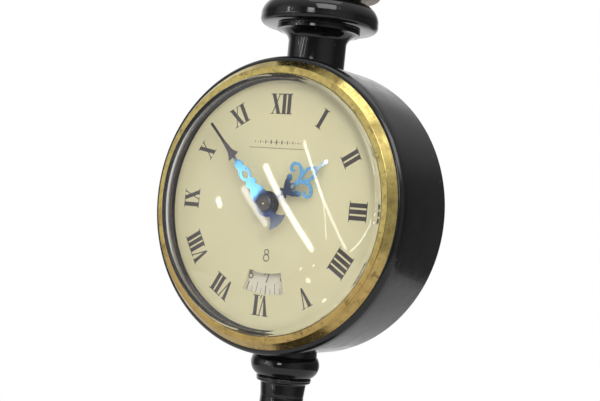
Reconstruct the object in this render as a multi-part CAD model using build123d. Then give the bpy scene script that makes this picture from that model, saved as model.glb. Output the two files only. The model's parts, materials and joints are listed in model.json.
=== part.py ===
from build123d import *
import os
from math import acos, atan2, cos, degrees, hypot, radians, sin

# Miniature street clock: a turned post on a round foot carries a drum clock, with a lantern on top.
# Millimetres. +Z is up, the dial faces -Y, and the origin is under the foot, on the post's axis.

# ---- overall sizes
DRUM_RADIUS = 40.0
DRUM_FRONT = 15.0         # front face of the drum, ahead of the post's axis
DRUM_BACK = 9.6           # back rim, behind the post's axis
CENTRE_HEIGHT = 165.0     # dial centre above the table
FOOT_RADIUS = 48.0
DIAL_RADIUS = 33.9        # the part of the dial that shows

# ---- clearances
RUNNING = 0.05            # radial play of a shaft in its hole
SHAKE = 0.1               # end play
PLAY = 0.2                # free space between pieces that only pass each other

# ---- post
FELT_THICKNESS = 1.5
FELT_INSET = 3.0
FOOT_HEIGHT = 21.0
FOOT_NECK = 17.0          # radius where the foot meets the pedestal
FOOT_WALL = 5.0
BALLAST_HEIGHT = 9.0
PEDESTAL_HEIGHT = 38.0
COLUMN_BOTTOM = 7.4
COLUMN_TOP = 6.0
CAPITAL_BULB = 9.5
CAPITAL_THROAT = 8.6
CAPITAL_HEIGHT = 12.0
ROD_RADIUS = 2.0
NUT_ACROSS = 7.0
NUT_HEIGHT = 3.0

# ---- neck and lantern
NECK_RADIUS = 8.1
FLANGE_RADIUS = 16.4
NECK_HEIGHT = 19.6        # from the top of the drum to the lantern's tray
TRAY_RADIUS = 16.2
TRAY_HEIGHT = 3.0
LANTERN_FOOT = 10.5       # half side of the lantern where it stands on the tray
LANTERN_EAVE = 16.0       # half side under the roof
LANTERN_HEIGHT = 34.0
BAR = 2.0                 # thickness of the lantern's bars
PANE = 0.8
EAVE_OVERHANG = 2.4
ROOF_HEIGHT = 15.0
ROOF_TOP = 4.6
FINIAL_HEIGHT = 14.0

# ---- drum case
DRUM_WALL = 2.5
LIP_RADIUS_GAIN = 0.3     # the front bead stands this much proud of the drum's side
BEZEL_EDGE = 1.17         # bezel's outer edge, inside the drum's side
BEZEL_FLANK = 1.85        # width of the sloping flank
BEZEL_FACE = 1.85         # width of the flat face
BEZEL_DEPTH = 2.2
CRYSTAL_WALL = 1.2
CRYSTAL_RISE = 5.1
CRYSTAL_FLANGE = 1.2
GASKET = 0.3
COVER_THICKNESS = 1.0
COVER_SET_IN = 0.2
LUG_RADIUS = 2.6
LUG_DEPTH = 5.0
LEDGE_WIDTH = 3.0
SCREW_RADIUS = 1.0
SCREW_HEAD = 1.9

# ---- levels in the drum, forward of the post's axis
DIAL_BACK = 13.1
DIAL_THICKNESS = 0.8
FRONT_PLATE_BACK = 6.0
FRONT_PLATE_THICKNESS = 2.0
BACK_PLATE_FRONT = -3.0
BACK_PLATE_THICKNESS = 1.6
PLATE_RADIUS = 27.0

# ---- day ring
RING_OUTER = 25.5
RING_TOOTH_TIP = 17.0
RING_TOOTH_ROOT = 18.0
RING_TEETH = 24
RING_THICKNESS = 0.6
RING_LEVEL = 12.1
WINDOW_INNER = 18.45
WINDOW_OUTER = 24.3
WINDOW_HALF_ANGLE = 16.0

# ---- hands, at eight minutes to two
HOUR_ANGLE = 54.6         # clockwise from the top
MINUTE_ANGLE = 315.5
HOUR_HAND_LENGTH = 21.6
MINUTE_HAND_LENGTH = 29.1
HOUR_HUB = 3.5
MINUTE_HUB = 2.6
TAIL_REACH = 7.3          # from the minute hand's centre to the edge of its tail
TAIL_HALF_WIDTH = 3.1
HOUR_BEADS = ((0.975, 0.55), (0.925, 0.45), (0.88, 0.5), (0.84, 0.5))
HAND_THICKNESS = 0.3
HOUR_HAND_LEVEL = 15.6
MINUTE_HAND_LEVEL = 16.9
CAP_RADIUS = 2.2
CAP_HEIGHT = 0.8

# ---- wheel work: module and tooth numbers of each meshing pair
BARREL_MODULE, BARREL_TEETH, INTERMEDIATE_LEAVES = 0.36, 64, 10
INTERMEDIATE_MODULE, INTERMEDIATE_TEETH, CENTRE_LEAVES = 0.36, 54, 12
CENTRE_MODULE, CENTRE_TEETH, THIRD_LEAVES = 0.27, 60, 8
THIRD_MODULE, THIRD_TEETH, FOURTH_LEAVES = 0.22, 64, 8
FOURTH_MODULE, FOURTH_TEETH, ESCAPE_LEAVES = 0.2, 70, 7
CANNON_MODULE, CANNON_LEAVES, MINUTE_TEETH = 0.36, 12, 36
MINUTE_LEAVES, HOUR_TEETH = 10, 40
DAY_MODULE, DAY_LEAVES, DAY_TEETH = 0.36, 18, 36
WHEEL_TOOTH = (0.8, 1.0, 0.08, 0.19)     # addendum, dedendum, half tip and half root, in modules and pitches
PINION_TOOTH = (0.6, 1.15, 0.10, 0.19)
ESCAPE_TEETH = 15
ESCAPE_RADIUS = 3.6
ARBOR_RADIUS = 0.5
PIVOT_RADIUS = 0.3
JEWEL_RADIUS = 0.9
CENTRE_ARBOR = 1.0
CENTRE_TUBE = 1.6
BARREL_ARBOR = 1.8
BARREL_PIVOT = 1.5
BARREL_WALL = 0.8
WINDING_SQUARE = 1.9
RATCHET_RADIUS = 6.0
RATCHET_TEETH = 24
BALANCE_RADIUS = 7.0
STUD_RADIUS = 0.8
HOUR_PIPE = 2.1
HAIRSPRING_RADIUS = 4.4
ROLLER_PIN = 1.3          # the impulse pin's distance from the balance staff
STAFF_HOLE = 2.2
REGULATOR_REACH = 5.5
REGULATOR_SWING = 18.0

# ---- levels of the wheels, forward of the post's axis
WHEEL_THICKNESS = 0.6
PINION_OVERHANG = 0.2     # a pinion is this much longer than its wheel at each end
GREAT_WHEEL_LEVEL = 3.0
GREAT_WHEEL_THICKNESS = 0.8
BARREL_LEVEL = -1.2
BARREL_RADIUS = 10.5
BARREL_COVER_THICKNESS = 0.6
INTERMEDIATE_LEVEL = 4.6
CENTRE_LEVEL = -2.4
THIRD_LEVEL = 1.0
FOURTH_LEVEL = -0.6
ESCAPE_LEVEL = -1.6
BALANCE_LEVEL = -5.9
HAIRSPRING_LEVEL = -6.5
COCK_LEVEL = -7.6
COCK_THICKNESS = 0.7
RATCHET_LEVEL = -5.6
MINUTE_WHEEL_LEVEL = 8.6
HOUR_WHEEL_LEVEL = 9.7
DAY_WHEEL_LEVEL = 10.8
KEY_LEVEL = -11.0         # front of the winding key and the setting knob

# ---- where the arbors stand, as a distance and a direction from the dial's centre or from the arbor before
BARREL_DISTANCE, BARREL_DIRECTION = 13.8, 200.0
THIRD_DIRECTION = 20.0
FOURTH_DIRECTION = -75.0
ESCAPE_DIRECTION = -130.0
BALANCE_PLACE = (-4.0, -17.5)
FORK_FROM_ESCAPE = 5.4
COCK_FOOT = (6.5, -20.5)
MINUTE_WHEEL_DIRECTION = 60.0
DAY_DRIVER_DIRECTION = 250.0

# ---- worked out from the sizes above
INNER_RADIUS = DRUM_RADIUS - DRUM_WALL
DIAL_FRONT = DIAL_BACK + DIAL_THICKNESS
PLATE_FRONT = FRONT_PLATE_BACK + FRONT_PLATE_THICKNESS
PLATE_BACK = BACK_PLATE_FRONT - BACK_PLATE_THICKNESS
COVER_BACK = -DRUM_BACK + COVER_SET_IN
COVER_FRONT = COVER_BACK + COVER_THICKNESS
BEZEL_OUTER = DRUM_RADIUS - BEZEL_EDGE
BEZEL_INNER = BEZEL_OUTER - BEZEL_FLANK - BEZEL_FACE
BEZEL_TOP = DRUM_FRONT + BEZEL_DEPTH
CRYSTAL_TOP = BEZEL_TOP - 0.6
CRYSTAL_SEAT = CRYSTAL_TOP - 1.0
CRYSTAL_EDGE = BEZEL_INNER - 0.1
ARBOR_LOW = BACK_PLATE_FRONT + SHAKE
ARBOR_HIGH = FRONT_PLATE_BACK - SHAKE
DRUM_BOTTOM = CENTRE_HEIGHT - DRUM_RADIUS
DRUM_TOP = CENTRE_HEIGHT + DRUM_RADIUS
FOOT_TOP = FELT_THICKNESS + FOOT_HEIGHT
PEDESTAL_TOP = FOOT_TOP + PEDESTAL_HEIGHT
COLUMN_END = DRUM_BOTTOM - CAPITAL_HEIGHT
TRAY_BOTTOM = DRUM_TOP + NECK_HEIGHT
LANTERN_BOTTOM = TRAY_BOTTOM + TRAY_HEIGHT
LANTERN_TOP = LANTERN_BOTTOM + LANTERN_HEIGHT
ROOF_PEAK = LANTERN_TOP + ROOF_HEIGHT


def polar(distance, direction, start=(0.0, 0.0)):
    """The point at a distance and direction, in degrees, from a start."""
    angle = radians(direction)
    return (start[0] + distance * cos(angle), start[1] + distance * sin(angle))


def direction_of(start, end):
    return degrees(atan2(end[1] - start[1], end[0] - start[0]))


def distance_of(start, end):
    return hypot(end[0] - start[0], end[1] - start[1])


def third_corner(start, end, from_start, from_end):
    """The corner of a triangle on the clockwise side of start-end, from its two other sides."""
    base = distance_of(start, end)
    angle = acos((base ** 2 + from_start ** 2 - from_end ** 2) / (2 * base * from_start))
    return polar(from_start, direction_of(start, end) - degrees(angle), start)


def spacing(module, teeth, leaves):
    return module * (teeth + leaves) / 2


CENTRE = (0.0, 0.0)
BARREL = polar(BARREL_DISTANCE, BARREL_DIRECTION)
INTERMEDIATE = third_corner(CENTRE, BARREL,
                            spacing(INTERMEDIATE_MODULE, INTERMEDIATE_TEETH, CENTRE_LEAVES),
                            spacing(BARREL_MODULE, BARREL_TEETH, INTERMEDIATE_LEAVES))
THIRD = polar(spacing(CENTRE_MODULE, CENTRE_TEETH, THIRD_LEAVES), THIRD_DIRECTION)
FOURTH = polar(spacing(THIRD_MODULE, THIRD_TEETH, FOURTH_LEAVES), FOURTH_DIRECTION, THIRD)
ESCAPE = polar(spacing(FOURTH_MODULE, FOURTH_TEETH, ESCAPE_LEAVES), ESCAPE_DIRECTION, FOURTH)
BALANCE = BALANCE_PLACE
LEVER_DIRECTION = direction_of(ESCAPE, BALANCE)
FORK = polar(FORK_FROM_ESCAPE, LEVER_DIRECTION, ESCAPE)
MINUTE_WHEEL = polar(spacing(CANNON_MODULE, MINUTE_TEETH, CANNON_LEAVES), MINUTE_WHEEL_DIRECTION)
HOUR_MODULE = 2 * distance_of(CENTRE, MINUTE_WHEEL) / (HOUR_TEETH + MINUTE_LEAVES)
DAY_DRIVER = polar(spacing(DAY_MODULE, DAY_TEETH, DAY_LEAVES), DAY_DRIVER_DIRECTION)
PILLARS = [polar(PLATE_RADIUS - 2.8, angle) for angle in (40, 115, 228, 315)]
CLICK = polar(RATCHET_RADIUS + 3.2, 60.0, BARREL)
JEWELLED = (THIRD, FOURTH, ESCAPE, FORK, BALANCE)
LUG_ANGLES = (45, 135, 225, 315)
LEDGE_ANGLES = (75, 195, 315)
DOG_ANGLES = (75, 180, 290)


# ---------------------------------------------------------------- shape helpers

def outline(points):
    """Closed face; a third value in a point bows the edge that arrives there by that much."""
    edges = []
    for here, there in zip(points, points[1:] + points[:1]):
        bow = there[2] if len(there) > 2 else 0
        start = Vector(here[0], here[1], 0)
        end = Vector(there[0], there[1], 0)
        edges.append(SagittaArc(start, end, bow) if bow else Line(start, end))
    return make_face(edges)


def turned(points):
    """Lathe work about +Z from an outline of radius and height."""
    return revolve(Rot(90, 0, 0) * outline(points), Axis.Z)


def disc(radius, low, high, at=(0.0, 0.0)):
    return Pos(at[0], at[1], (low + high) / 2) * Cylinder(radius, high - low)


def ring(outer, inner, low, high, at=(0.0, 0.0)):
    return disc(outer, low, high, at) - disc(inner, low, high, at)


def plate(points, low, high):
    """Flat piece cut to an outline."""
    return Pos(0, 0, low) * extrude(outline(points), high - low)


def bar(start, end, width, low, high):
    """Straight bar with square ends between two points."""
    length = distance_of(start, end)
    middle = ((start[0] + end[0]) / 2, (start[1] + end[1]) / 2, (low + high) / 2)
    return Pos(*middle) * Rot(0, 0, direction_of(start, end)) * Box(length, width, high - low)


def hexagon(across, low, high):
    return Pos(0, 0, low) * extrude(RegularPolygon(across / 2, 6, major_radius=False), high - low)


def toothed(module, teeth, low, high, form, phase):
    """Spur teeth with flat flanks, four edges to a tooth, one tooth pointing at the phase angle."""
    addendum, dedendum, half_tip, half_root = form
    pitch = 360 / teeth
    root = module * (teeth / 2 - dedendum)
    tip = module * (teeth / 2 + addendum)
    points = []
    for number in range(teeth):
        angle = phase + number * pitch
        points.append(polar(root, angle - half_root * pitch))
        points.append(polar(tip, angle - half_tip * pitch))
        points.append(polar(tip, angle + half_tip * pitch))
        points.append(polar(root, angle + half_root * pitch))
    return plate(points, low, high)


def wheel(module, teeth, low, high, place, towards):
    """Wheel whose tooth points at the pinion it drives."""
    phase = direction_of(place, towards)
    return Pos(*place, 0) * toothed(module, teeth, low, high, WHEEL_TOOTH, phase)


def pinion(module, leaves, low, high, place, towards):
    """Pinion whose gap faces the wheel that drives it."""
    phase = direction_of(place, towards) + 180 / leaves
    return Pos(*place, 0) * toothed(module, leaves, low, high, PINION_TOOTH, phase)


def arbor(place, low=ARBOR_LOW, high=ARBOR_HIGH, radius=ARBOR_RADIUS, pivot=PIVOT_RADIUS):
    """Shaft with a thinner pivot at each end, reaching into both plates."""
    reach = BACK_PLATE_THICKNESS - 0.3
    return disc(radius, low, high, place) + disc(pivot, low - reach, high + reach, place)


def hand_frame(angle):
    """Turns a hand drawn upwards to its clockwise angle."""
    return Rot(0, 0, -angle)


def in_drum(shape):
    """From the drum's own frame, with its axis forwards along +Z, to the clock's place."""
    return Pos(0, 0, CENTRE_HEIGHT) * Rot(90, 0, 0) * shape


def spiral(inner, outer, turns, width, low, high):
    """Flat spring from half circles whose radius grows step by step."""
    steps = turns * 2
    growth = (outer - inner) / steps
    centre_x = 0.0
    radius = inner
    side = 1
    edges = []
    start = Vector(inner, 0, 0)
    for _ in range(steps):
        end = Vector(centre_x - side * radius, 0, 0)
        top = Vector(centre_x, side * radius, 0)
        edges.append(ThreePointArc(start, top, end))
        start = end
        radius += growth
        centre_x += side * growth
        side = -side
    path = Wire(edges)
    section = Pos(inner, 0, 0) * Rot(90, 0, 0) * Rectangle(width, high - low)
    return Pos(0, 0, (low + high) / 2) * sweep(section, path=path)


# ---------------------------------------------------------------- post

def base_felt():
    return disc(FOOT_RADIUS - FELT_INSET, 0, FELT_THICKNESS)


def base_foot():
    """Stepped round foot, hollow underneath for the ballast."""
    low = FELT_THICKNESS
    body = turned([
        (0, low),
        (FOOT_RADIUS, low),
        (FOOT_RADIUS, low + 4.5),
        (FOOT_RADIUS - 1.5, low + 6.0, -0.4),
        (FOOT_RADIUS - 5.0, low + 6.0),
        (FOOT_RADIUS - 6.0, low + 7.0),
        (FOOT_RADIUS - 8.0, low + 9.5, -1.2),
        (FOOT_NECK + 6.0, low + 14.0, 2.5),
        (FOOT_NECK + 5.0, low + 14.0),
        (FOOT_NECK + 3.0, FOOT_TOP - 3.0, -1.5),
        (FOOT_NECK, FOOT_TOP - 3.0),
        (FOOT_NECK, FOOT_TOP),
        (0, FOOT_TOP),
    ])
    hollow = disc(FOOT_RADIUS - 2 * FOOT_WALL, low, low + BALLAST_HEIGHT - 2.0)
    nut_room = disc(NUT_ACROSS, low, low + BALLAST_HEIGHT + NUT_HEIGHT)
    return body - hollow - nut_room - disc(ROD_RADIUS + SHAKE, low, FOOT_TOP)


def base_weight():
    """Cast slug that keeps the clock standing."""
    low = FELT_THICKNESS
    outer = FOOT_RADIUS - 2 * FOOT_WALL - PLAY
    return ring(outer, NUT_ACROSS + PLAY, low, low + BALLAST_HEIGHT - 2.0)


def tie_rod():
    """Threaded rod that clamps foot, pedestal, column and capital to the drum."""
    low = FELT_THICKNESS + BALLAST_HEIGHT - 1.0
    return disc(ROD_RADIUS, low, DRUM_BOTTOM + DRUM_WALL + NUT_HEIGHT + 1.0)


def pedestal():
    low = FOOT_TOP
    top = PEDESTAL_TOP
    body = turned([
        (0, low),
        (FOOT_NECK - 1.5, low),
        (FOOT_NECK - 1.5, low + 3.0, -1.2),
        (FOOT_NECK - 3.5, low + 3.0),
        (FOOT_NECK - 4.5, low + 6.5, 0.6),
        (FOOT_NECK - 4.5, top - 16.0),
        (FOOT_NECK - 3.0, top - 14.5),
        (FOOT_NECK - 3.0, top - 12.0, -1.0),
        (COLUMN_BOTTOM + 2.0, top - 8.0, 1.2),
        (COLUMN_BOTTOM + 2.0, top - 6.0),
        (COLUMN_BOTTOM + 3.2, top - 4.8),
        (COLUMN_BOTTOM + 3.2, top - 2.4, -1.0),
        (COLUMN_BOTTOM + 1.4, top),
        (0, top),
    ])
    return body - disc(ROD_RADIUS + SHAKE, low, top)


def column():
    """Tapering shaft with a ring moulding a third of the way up."""
    low = PEDESTAL_TOP
    top = COLUMN_END
    knop = low + (top - low) / 3
    middle = COLUMN_BOTTOM + (COLUMN_TOP - COLUMN_BOTTOM) / 3
    body = turned([
        (0, low),
        (COLUMN_BOTTOM, low),
        (middle, knop - 2.0),
        (middle + 1.6, knop - 1.0),
        (middle + 1.6, knop + 1.0, -0.6),
        (middle, knop + 2.0),
        (COLUMN_TOP, top),
        (0, top),
    ])
    return body - disc(ROD_RADIUS + SHAKE, low, top)


def drum_side():
    """The drum's cylindrical side as a solid, for the saddles that sit on it."""
    return in_drum(disc(DRUM_RADIUS, -DRUM_BACK, DRUM_FRONT))


def column_capital():
    """Bulb that fits the underside of the drum, with a small ring below it."""
    low = COLUMN_END
    top = DRUM_BOTTOM
    body = turned([
        (0, low),
        (COLUMN_TOP, low),
        (COLUMN_TOP + 0.3, low + 3.2),
        (COLUMN_TOP + 0.9, low + 3.9, 0.25),
        (COLUMN_TOP + 1.5, low + 4.6, -0.3),
        (COLUMN_TOP + 1.2, low + 5.3, -0.3),
        (CAPITAL_THROAT, top - 0.6, (COLUMN_TOP + 1.2 + CAPITAL_THROAT) / 2 - CAPITAL_BULB),
        (CAPITAL_THROAT, top + 1.5),
        (0, top + 1.5),
    ])
    return body - drum_side() - disc(ROD_RADIUS + SHAKE, low, top + 1.5)


def rod_nuts():
    """Nuts in the foot and in the drum that hold the post's rod and the lantern's rod."""
    nut = hexagon(NUT_ACROSS, 0, NUT_HEIGHT) - disc(ROD_RADIUS, 0, NUT_HEIGHT)
    seat = (INNER_RADIUS ** 2 - (0.6 * NUT_ACROSS) ** 2) ** 0.5
    lower = Pos(0, 0, CENTRE_HEIGHT - seat) * nut
    upper = Pos(0, 0, CENTRE_HEIGHT + seat - NUT_HEIGHT) * nut
    foot = Pos(0, 0, FELT_THICKNESS + BALLAST_HEIGHT) * nut
    return Compound(children=[foot, lower, upper])


def neck():
    """Round post that fits the top of the drum and opens into a domed flange."""
    low = DRUM_TOP
    top = TRAY_BOTTOM
    step = NECK_RADIUS + 3.5
    collar = FLANGE_RADIUS - 5.4
    body = turned([
        (0, low - 1.5),
        (NECK_RADIUS, low - 1.5),
        (NECK_RADIUS, low + 6.4),
        (step, low + 9.1, 0.8),
        (step, low + 10.5),
        (FLANGE_RADIUS - 0.9, low + 10.5),
        (FLANGE_RADIUS, low + 12.2, -0.35),
        (FLANGE_RADIUS - 2.8, low + 17.3, -0.9),
        (FLANGE_RADIUS - 3.6, low + 17.3),
        (collar, low + 18.0, 0.2),
        (collar, top),
        (0, top),
    ])
    return body - drum_side() - disc(ROD_RADIUS + SHAKE, low - 1.5, top)


# ---------------------------------------------------------------- lantern

def lantern_rod():
    low = DRUM_TOP - DRUM_WALL - NUT_HEIGHT - 1.0
    return disc(ROD_RADIUS, low, ROOF_PEAK + 0.5 * FINIAL_HEIGHT)


def lantern_tray():
    low = TRAY_BOTTOM
    body = turned([
        (0, low),
        (TRAY_RADIUS - 0.8, low),
        (TRAY_RADIUS, low + 0.8, -0.2),
        (TRAY_RADIUS, low + 1.6),
        (TRAY_RADIUS - 1.0, low + TRAY_HEIGHT, -0.3),
        (0, low + TRAY_HEIGHT),
    ])
    return body - disc(ROD_RADIUS + SHAKE, low, low + TRAY_HEIGHT)


def frustum(foot, eave, low, high):
    """Square tapering block from its half sides."""
    return loft([Pos(0, 0, low) * Rectangle(2 * foot, 2 * foot), Pos(0, 0, high) * Rectangle(2 * eave, 2 * eave)])


def lantern_slope(height):
    """Half side of the lantern at a height above its foot."""
    return LANTERN_FOOT + (LANTERN_EAVE - LANTERN_FOOT) * height / LANTERN_HEIGHT


def lantern_windows():
    """The four openings as two tapering blocks that cross."""
    low = LANTERN_BOTTOM + BAR
    high = LANTERN_TOP - BAR
    narrow = 2 * (lantern_slope(BAR) - BAR)
    wide = 2 * (lantern_slope(LANTERN_HEIGHT - BAR) - BAR)
    reach = 4 * LANTERN_EAVE
    along_y = loft([Pos(0, 0, low) * Rectangle(narrow, reach), Pos(0, 0, high) * Rectangle(wide, reach)])
    along_x = loft([Pos(0, 0, low) * Rectangle(reach, narrow), Pos(0, 0, high) * Rectangle(reach, wide)])
    return along_x, along_y


def lantern_frame():
    """Four leaning corner bars with a square frame at the foot and at the eaves."""
    outer = frustum(LANTERN_FOOT, LANTERN_EAVE, LANTERN_BOTTOM, LANTERN_TOP)
    inner = frustum(LANTERN_FOOT - BAR, LANTERN_EAVE - BAR, LANTERN_BOTTOM, LANTERN_TOP)
    along_x, along_y = lantern_windows()
    return outer - inner - along_x - along_y


def lantern_panes():
    """Glass set in the middle of the bars."""
    inset = (BAR - PANE) / 2
    outer = frustum(LANTERN_FOOT - inset, LANTERN_EAVE - inset, LANTERN_BOTTOM, LANTERN_TOP)
    inner = frustum(LANTERN_FOOT - inset - PANE, LANTERN_EAVE - inset - PANE, LANTERN_BOTTOM, LANTERN_TOP)
    along_x, along_y = lantern_windows()
    shell = outer - inner
    sides = (shell & along_x).solids() + (shell & along_y).solids()
    return Compound(children=sides)


def lantern_lamp():
    """Frosted chimney round the rod."""
    low = LANTERN_BOTTOM
    top = low + 0.62 * LANTERN_HEIGHT
    return turned([
        (ROD_RADIUS + 1.6, low),
        (ROD_RADIUS + 2.6, low),
        (ROD_RADIUS + 3.4, low + 0.3 * (top - low), -0.4),
        (ROD_RADIUS + 1.6, top, -0.4),
        (ROD_RADIUS + 0.6, top),
        (ROD_RADIUS + 2.4, low + 0.3 * (top - low), 0.4),
    ])


def lantern_roof():
    """Square roof with a level skirt, a sloping top and a small cap."""
    eave = LANTERN_EAVE + EAVE_OVERHANG
    skirt = Pos(0, 0, LANTERN_TOP + 0.6) * Box(2 * eave, 2 * eave, 1.2)
    slope = frustum(eave - 1.0, ROOF_TOP, LANTERN_TOP + 1.2, ROOF_PEAK - 1.6)
    cap = Pos(0, 0, ROOF_PEAK - 0.8) * Box(2 * ROOF_TOP + 1.6, 2 * ROOF_TOP + 1.6, 1.6)
    return skirt + slope + cap - disc(ROD_RADIUS + SHAKE, LANTERN_TOP, ROOF_PEAK)


def lantern_finial():
    """Turned nut that closes the lantern's rod."""
    low = ROOF_PEAK
    tall = FINIAL_HEIGHT
    body = turned([
        (0, low),
        (3.6, low),
        (3.6, low + 1.2),
        (2.4, low + 2.2, 0.3),
        (2.4, low + 0.62 * tall, -2.0),
        (1.0, low + 0.70 * tall, 0.3),
        (0.5, low + tall),
        (0, low + tall),
    ])
    return body - disc(ROD_RADIUS, low, low + 0.5 * tall)


# ---------------------------------------------------------------- drum case

def drum_shell():
    """Turned case with a front bead, a ledge for the movement ring and lugs for the back cover."""
    shoulder = DRUM_FRONT - 4.1
    bead = DRUM_RADIUS + LIP_RADIUS_GAIN
    shell = turned([
        (INNER_RADIUS, -DRUM_BACK),
        (DRUM_RADIUS - 1.0, -DRUM_BACK),
        (DRUM_RADIUS, -DRUM_BACK + 1.0, -0.29),
        (DRUM_RADIUS, shoulder - 0.6),
        (DRUM_RADIUS - 0.3, shoulder - 0.3),
        (bead, shoulder),
        (bead, DRUM_FRONT - 1.6),
        (BEZEL_OUTER + 0.1, DRUM_FRONT, -0.3),
        (INNER_RADIUS, DRUM_FRONT),
    ])
    ledge = ring(INNER_RADIUS + 0.5, INNER_RADIUS - LEDGE_WIDTH, FRONT_PLATE_BACK - 1.5, FRONT_PLATE_BACK)
    shell = shell + ledge
    for angle in LUG_ANGLES:
        shell = shell + disc(LUG_RADIUS, COVER_FRONT, COVER_FRONT + LUG_DEPTH, polar(lug_distance(), angle))
    for angle in LUG_ANGLES:
        place = polar(lug_distance(), angle)
        shell = shell - disc(SCREW_RADIUS, COVER_FRONT, COVER_FRONT + LUG_DEPTH - 1.0, place)
    for angle in LEDGE_ANGLES:
        place = polar(INNER_RADIUS - LEDGE_WIDTH / 2, angle)
        shell = shell - disc(0.8, FRONT_PLATE_BACK - 1.5, FRONT_PLATE_BACK, place)
    rod_hole = Rot(90, 0, 0) * Cylinder(ROD_RADIUS + SHAKE, 4 * DRUM_RADIUS)
    return in_drum(shell - rod_hole)


def lug_distance():
    return INNER_RADIUS - LUG_RADIUS + 0.6


def sector(inner, outer, direction, half_angle, low, high):
    """Piece of a ring between two radii, centred on a direction."""
    bend = 1 - cos(radians(half_angle))
    return plate([
        (*polar(inner, direction - half_angle), inner * bend),
        polar(outer, direction - half_angle),
        (*polar(outer, direction + half_angle), -outer * bend),
        polar(inner, direction + half_angle),
    ], low, high)


def regulator_slot(low, high):
    """Curved slot in the back cover that the regulator's finger moves in."""
    direction = direction_of(COCK_FOOT, BALANCE)
    slot = sector(REGULATOR_REACH - 0.8, REGULATOR_REACH + 0.8, direction, REGULATOR_SWING + 8, low, high)
    return Pos(*BALANCE, 0) * slot


def back_cover():
    """Pressed cover with a raised middle and openings for the key, the knob and the regulator."""
    rim = INNER_RADIUS - RUNNING
    middle = min(PLATE_RADIUS + 2.0, rim - 8.0)
    cover = turned([
        (0, COVER_BACK - 1.2),
        (middle, COVER_BACK - 1.2),
        (middle + 1.2, COVER_BACK),
        (rim, COVER_BACK),
        (rim, COVER_FRONT),
        (middle + 0.7, COVER_FRONT),
        (middle - 0.5, COVER_FRONT - 1.2),
        (0, COVER_FRONT - 1.2),
    ])
    low = COVER_BACK - 1.2
    cover = cover - disc(BARREL_PIVOT + PLAY, low, COVER_FRONT, BARREL)
    cover = cover - disc(CENTRE_ARBOR + PLAY, low, COVER_FRONT)
    for angle in LUG_ANGLES:
        cover = cover - disc(SCREW_RADIUS, low, COVER_FRONT, polar(lug_distance(), angle))
    return in_drum(cover - regulator_slot(low, COVER_FRONT))


def screw(place, head_low, head_high, shank_high, head=SCREW_HEAD, shank=SCREW_RADIUS):
    """Slotted screw that enters forwards; the head is at the back."""
    body = disc(head, head_low, head_high, place) + disc(shank, head_high, shank_high, place)
    slot = Pos(place[0], place[1], head_low) * Box(2 * head, 0.4, 0.6)
    return body - slot


def back_cover_screws():
    screws = [screw(polar(lug_distance(), angle), COVER_BACK - 0.9, COVER_BACK, COVER_FRONT + LUG_DEPTH - 1.5)
              for angle in LUG_ANGLES]
    return in_drum(Compound(children=screws))


def bezel():
    """Gilt ring with a sloping flank, a flat face and a lip over the crystal."""
    return in_drum(turned([
        (BEZEL_OUTER - 2.2, DRUM_FRONT),
        (BEZEL_OUTER, DRUM_FRONT),
        (BEZEL_OUTER - BEZEL_FLANK, BEZEL_TOP),
        (BEZEL_INNER, BEZEL_TOP),
        (BEZEL_INNER, CRYSTAL_TOP),
        (BEZEL_OUTER - 2.2, CRYSTAL_TOP),
    ]))


def crystal():
    """Domed crystal with a flange under the bezel's lip."""
    flange = CRYSTAL_EDGE + CRYSTAL_FLANGE
    inner = CRYSTAL_EDGE - CRYSTAL_WALL
    rise_out = CRYSTAL_RISE * (CRYSTAL_EDGE / inner) ** 2
    half = turned([
        (0, CRYSTAL_TOP + CRYSTAL_RISE - CRYSTAL_WALL + 0.9),
        (inner, CRYSTAL_TOP - CRYSTAL_WALL + 0.9, cap_bow(inner, CRYSTAL_RISE)),
        (inner, CRYSTAL_SEAT),
        (flange, CRYSTAL_SEAT),
        (flange, CRYSTAL_TOP),
        (CRYSTAL_EDGE, CRYSTAL_TOP),
        (CRYSTAL_EDGE, CRYSTAL_TOP + 0.7),
        (0, CRYSTAL_TOP + 0.7 + rise_out, -cap_bow(CRYSTAL_EDGE, rise_out)),
    ])
    return in_drum(half)


def cap_bow(radius, rise):
    """Bow of the arc from the top of a shallow dome down to its edge."""
    ball = (radius ** 2 + rise ** 2) / (2 * rise)
    chord = hypot(radius, rise)
    return ball - (ball ** 2 - chord ** 2 / 4) ** 0.5


def crystal_gasket():
    outer = CRYSTAL_EDGE + CRYSTAL_FLANGE
    return in_drum(ring(outer, DIAL_RADIUS + 0.3, CRYSTAL_SEAT - GASKET, CRYSTAL_SEAT))


def dial_ring():
    """Dark inner wall between the dial and the crystal."""
    outer = INNER_RADIUS - RUNNING
    top = CRYSTAL_SEAT - GASKET
    return in_drum(turned([
        (DIAL_RADIUS, DIAL_FRONT),
        (outer, DIAL_FRONT),
        (outer, DRUM_FRONT - 0.1),
        (BEZEL_OUTER - 2.4, DRUM_FRONT - 0.1),
        (BEZEL_OUTER - 2.4, top),
        (DIAL_RADIUS + 0.4, top),
    ]))


def dial():
    """Dial with its centre hole and the window over the day ring."""
    low = DIAL_BACK
    face = disc(INNER_RADIUS - RUNNING, low, DIAL_FRONT)
    window = sector(WINDOW_INNER, WINDOW_OUTER, -90, WINDOW_HALF_ANGLE, low, DIAL_FRONT)
    return in_drum(face - disc(HOUR_PIPE + PLAY, low, DIAL_FRONT) - window)


def day_ring():
    """Ring of numbered days, toothed inside."""
    low = RING_LEVEL
    high = RING_LEVEL + RING_THICKNESS
    points = []
    pitch = 360 / RING_TEETH
    for number in range(RING_TEETH):
        angle = number * pitch
        points.append(polar(RING_TOOTH_ROOT, angle - 0.4 * pitch))
        points.append(polar(RING_TOOTH_TIP, angle))
        points.append(polar(RING_TOOTH_ROOT, angle + 0.4 * pitch))
    return in_drum(disc(RING_OUTER, low, high) - plate(points, low, high))


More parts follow.
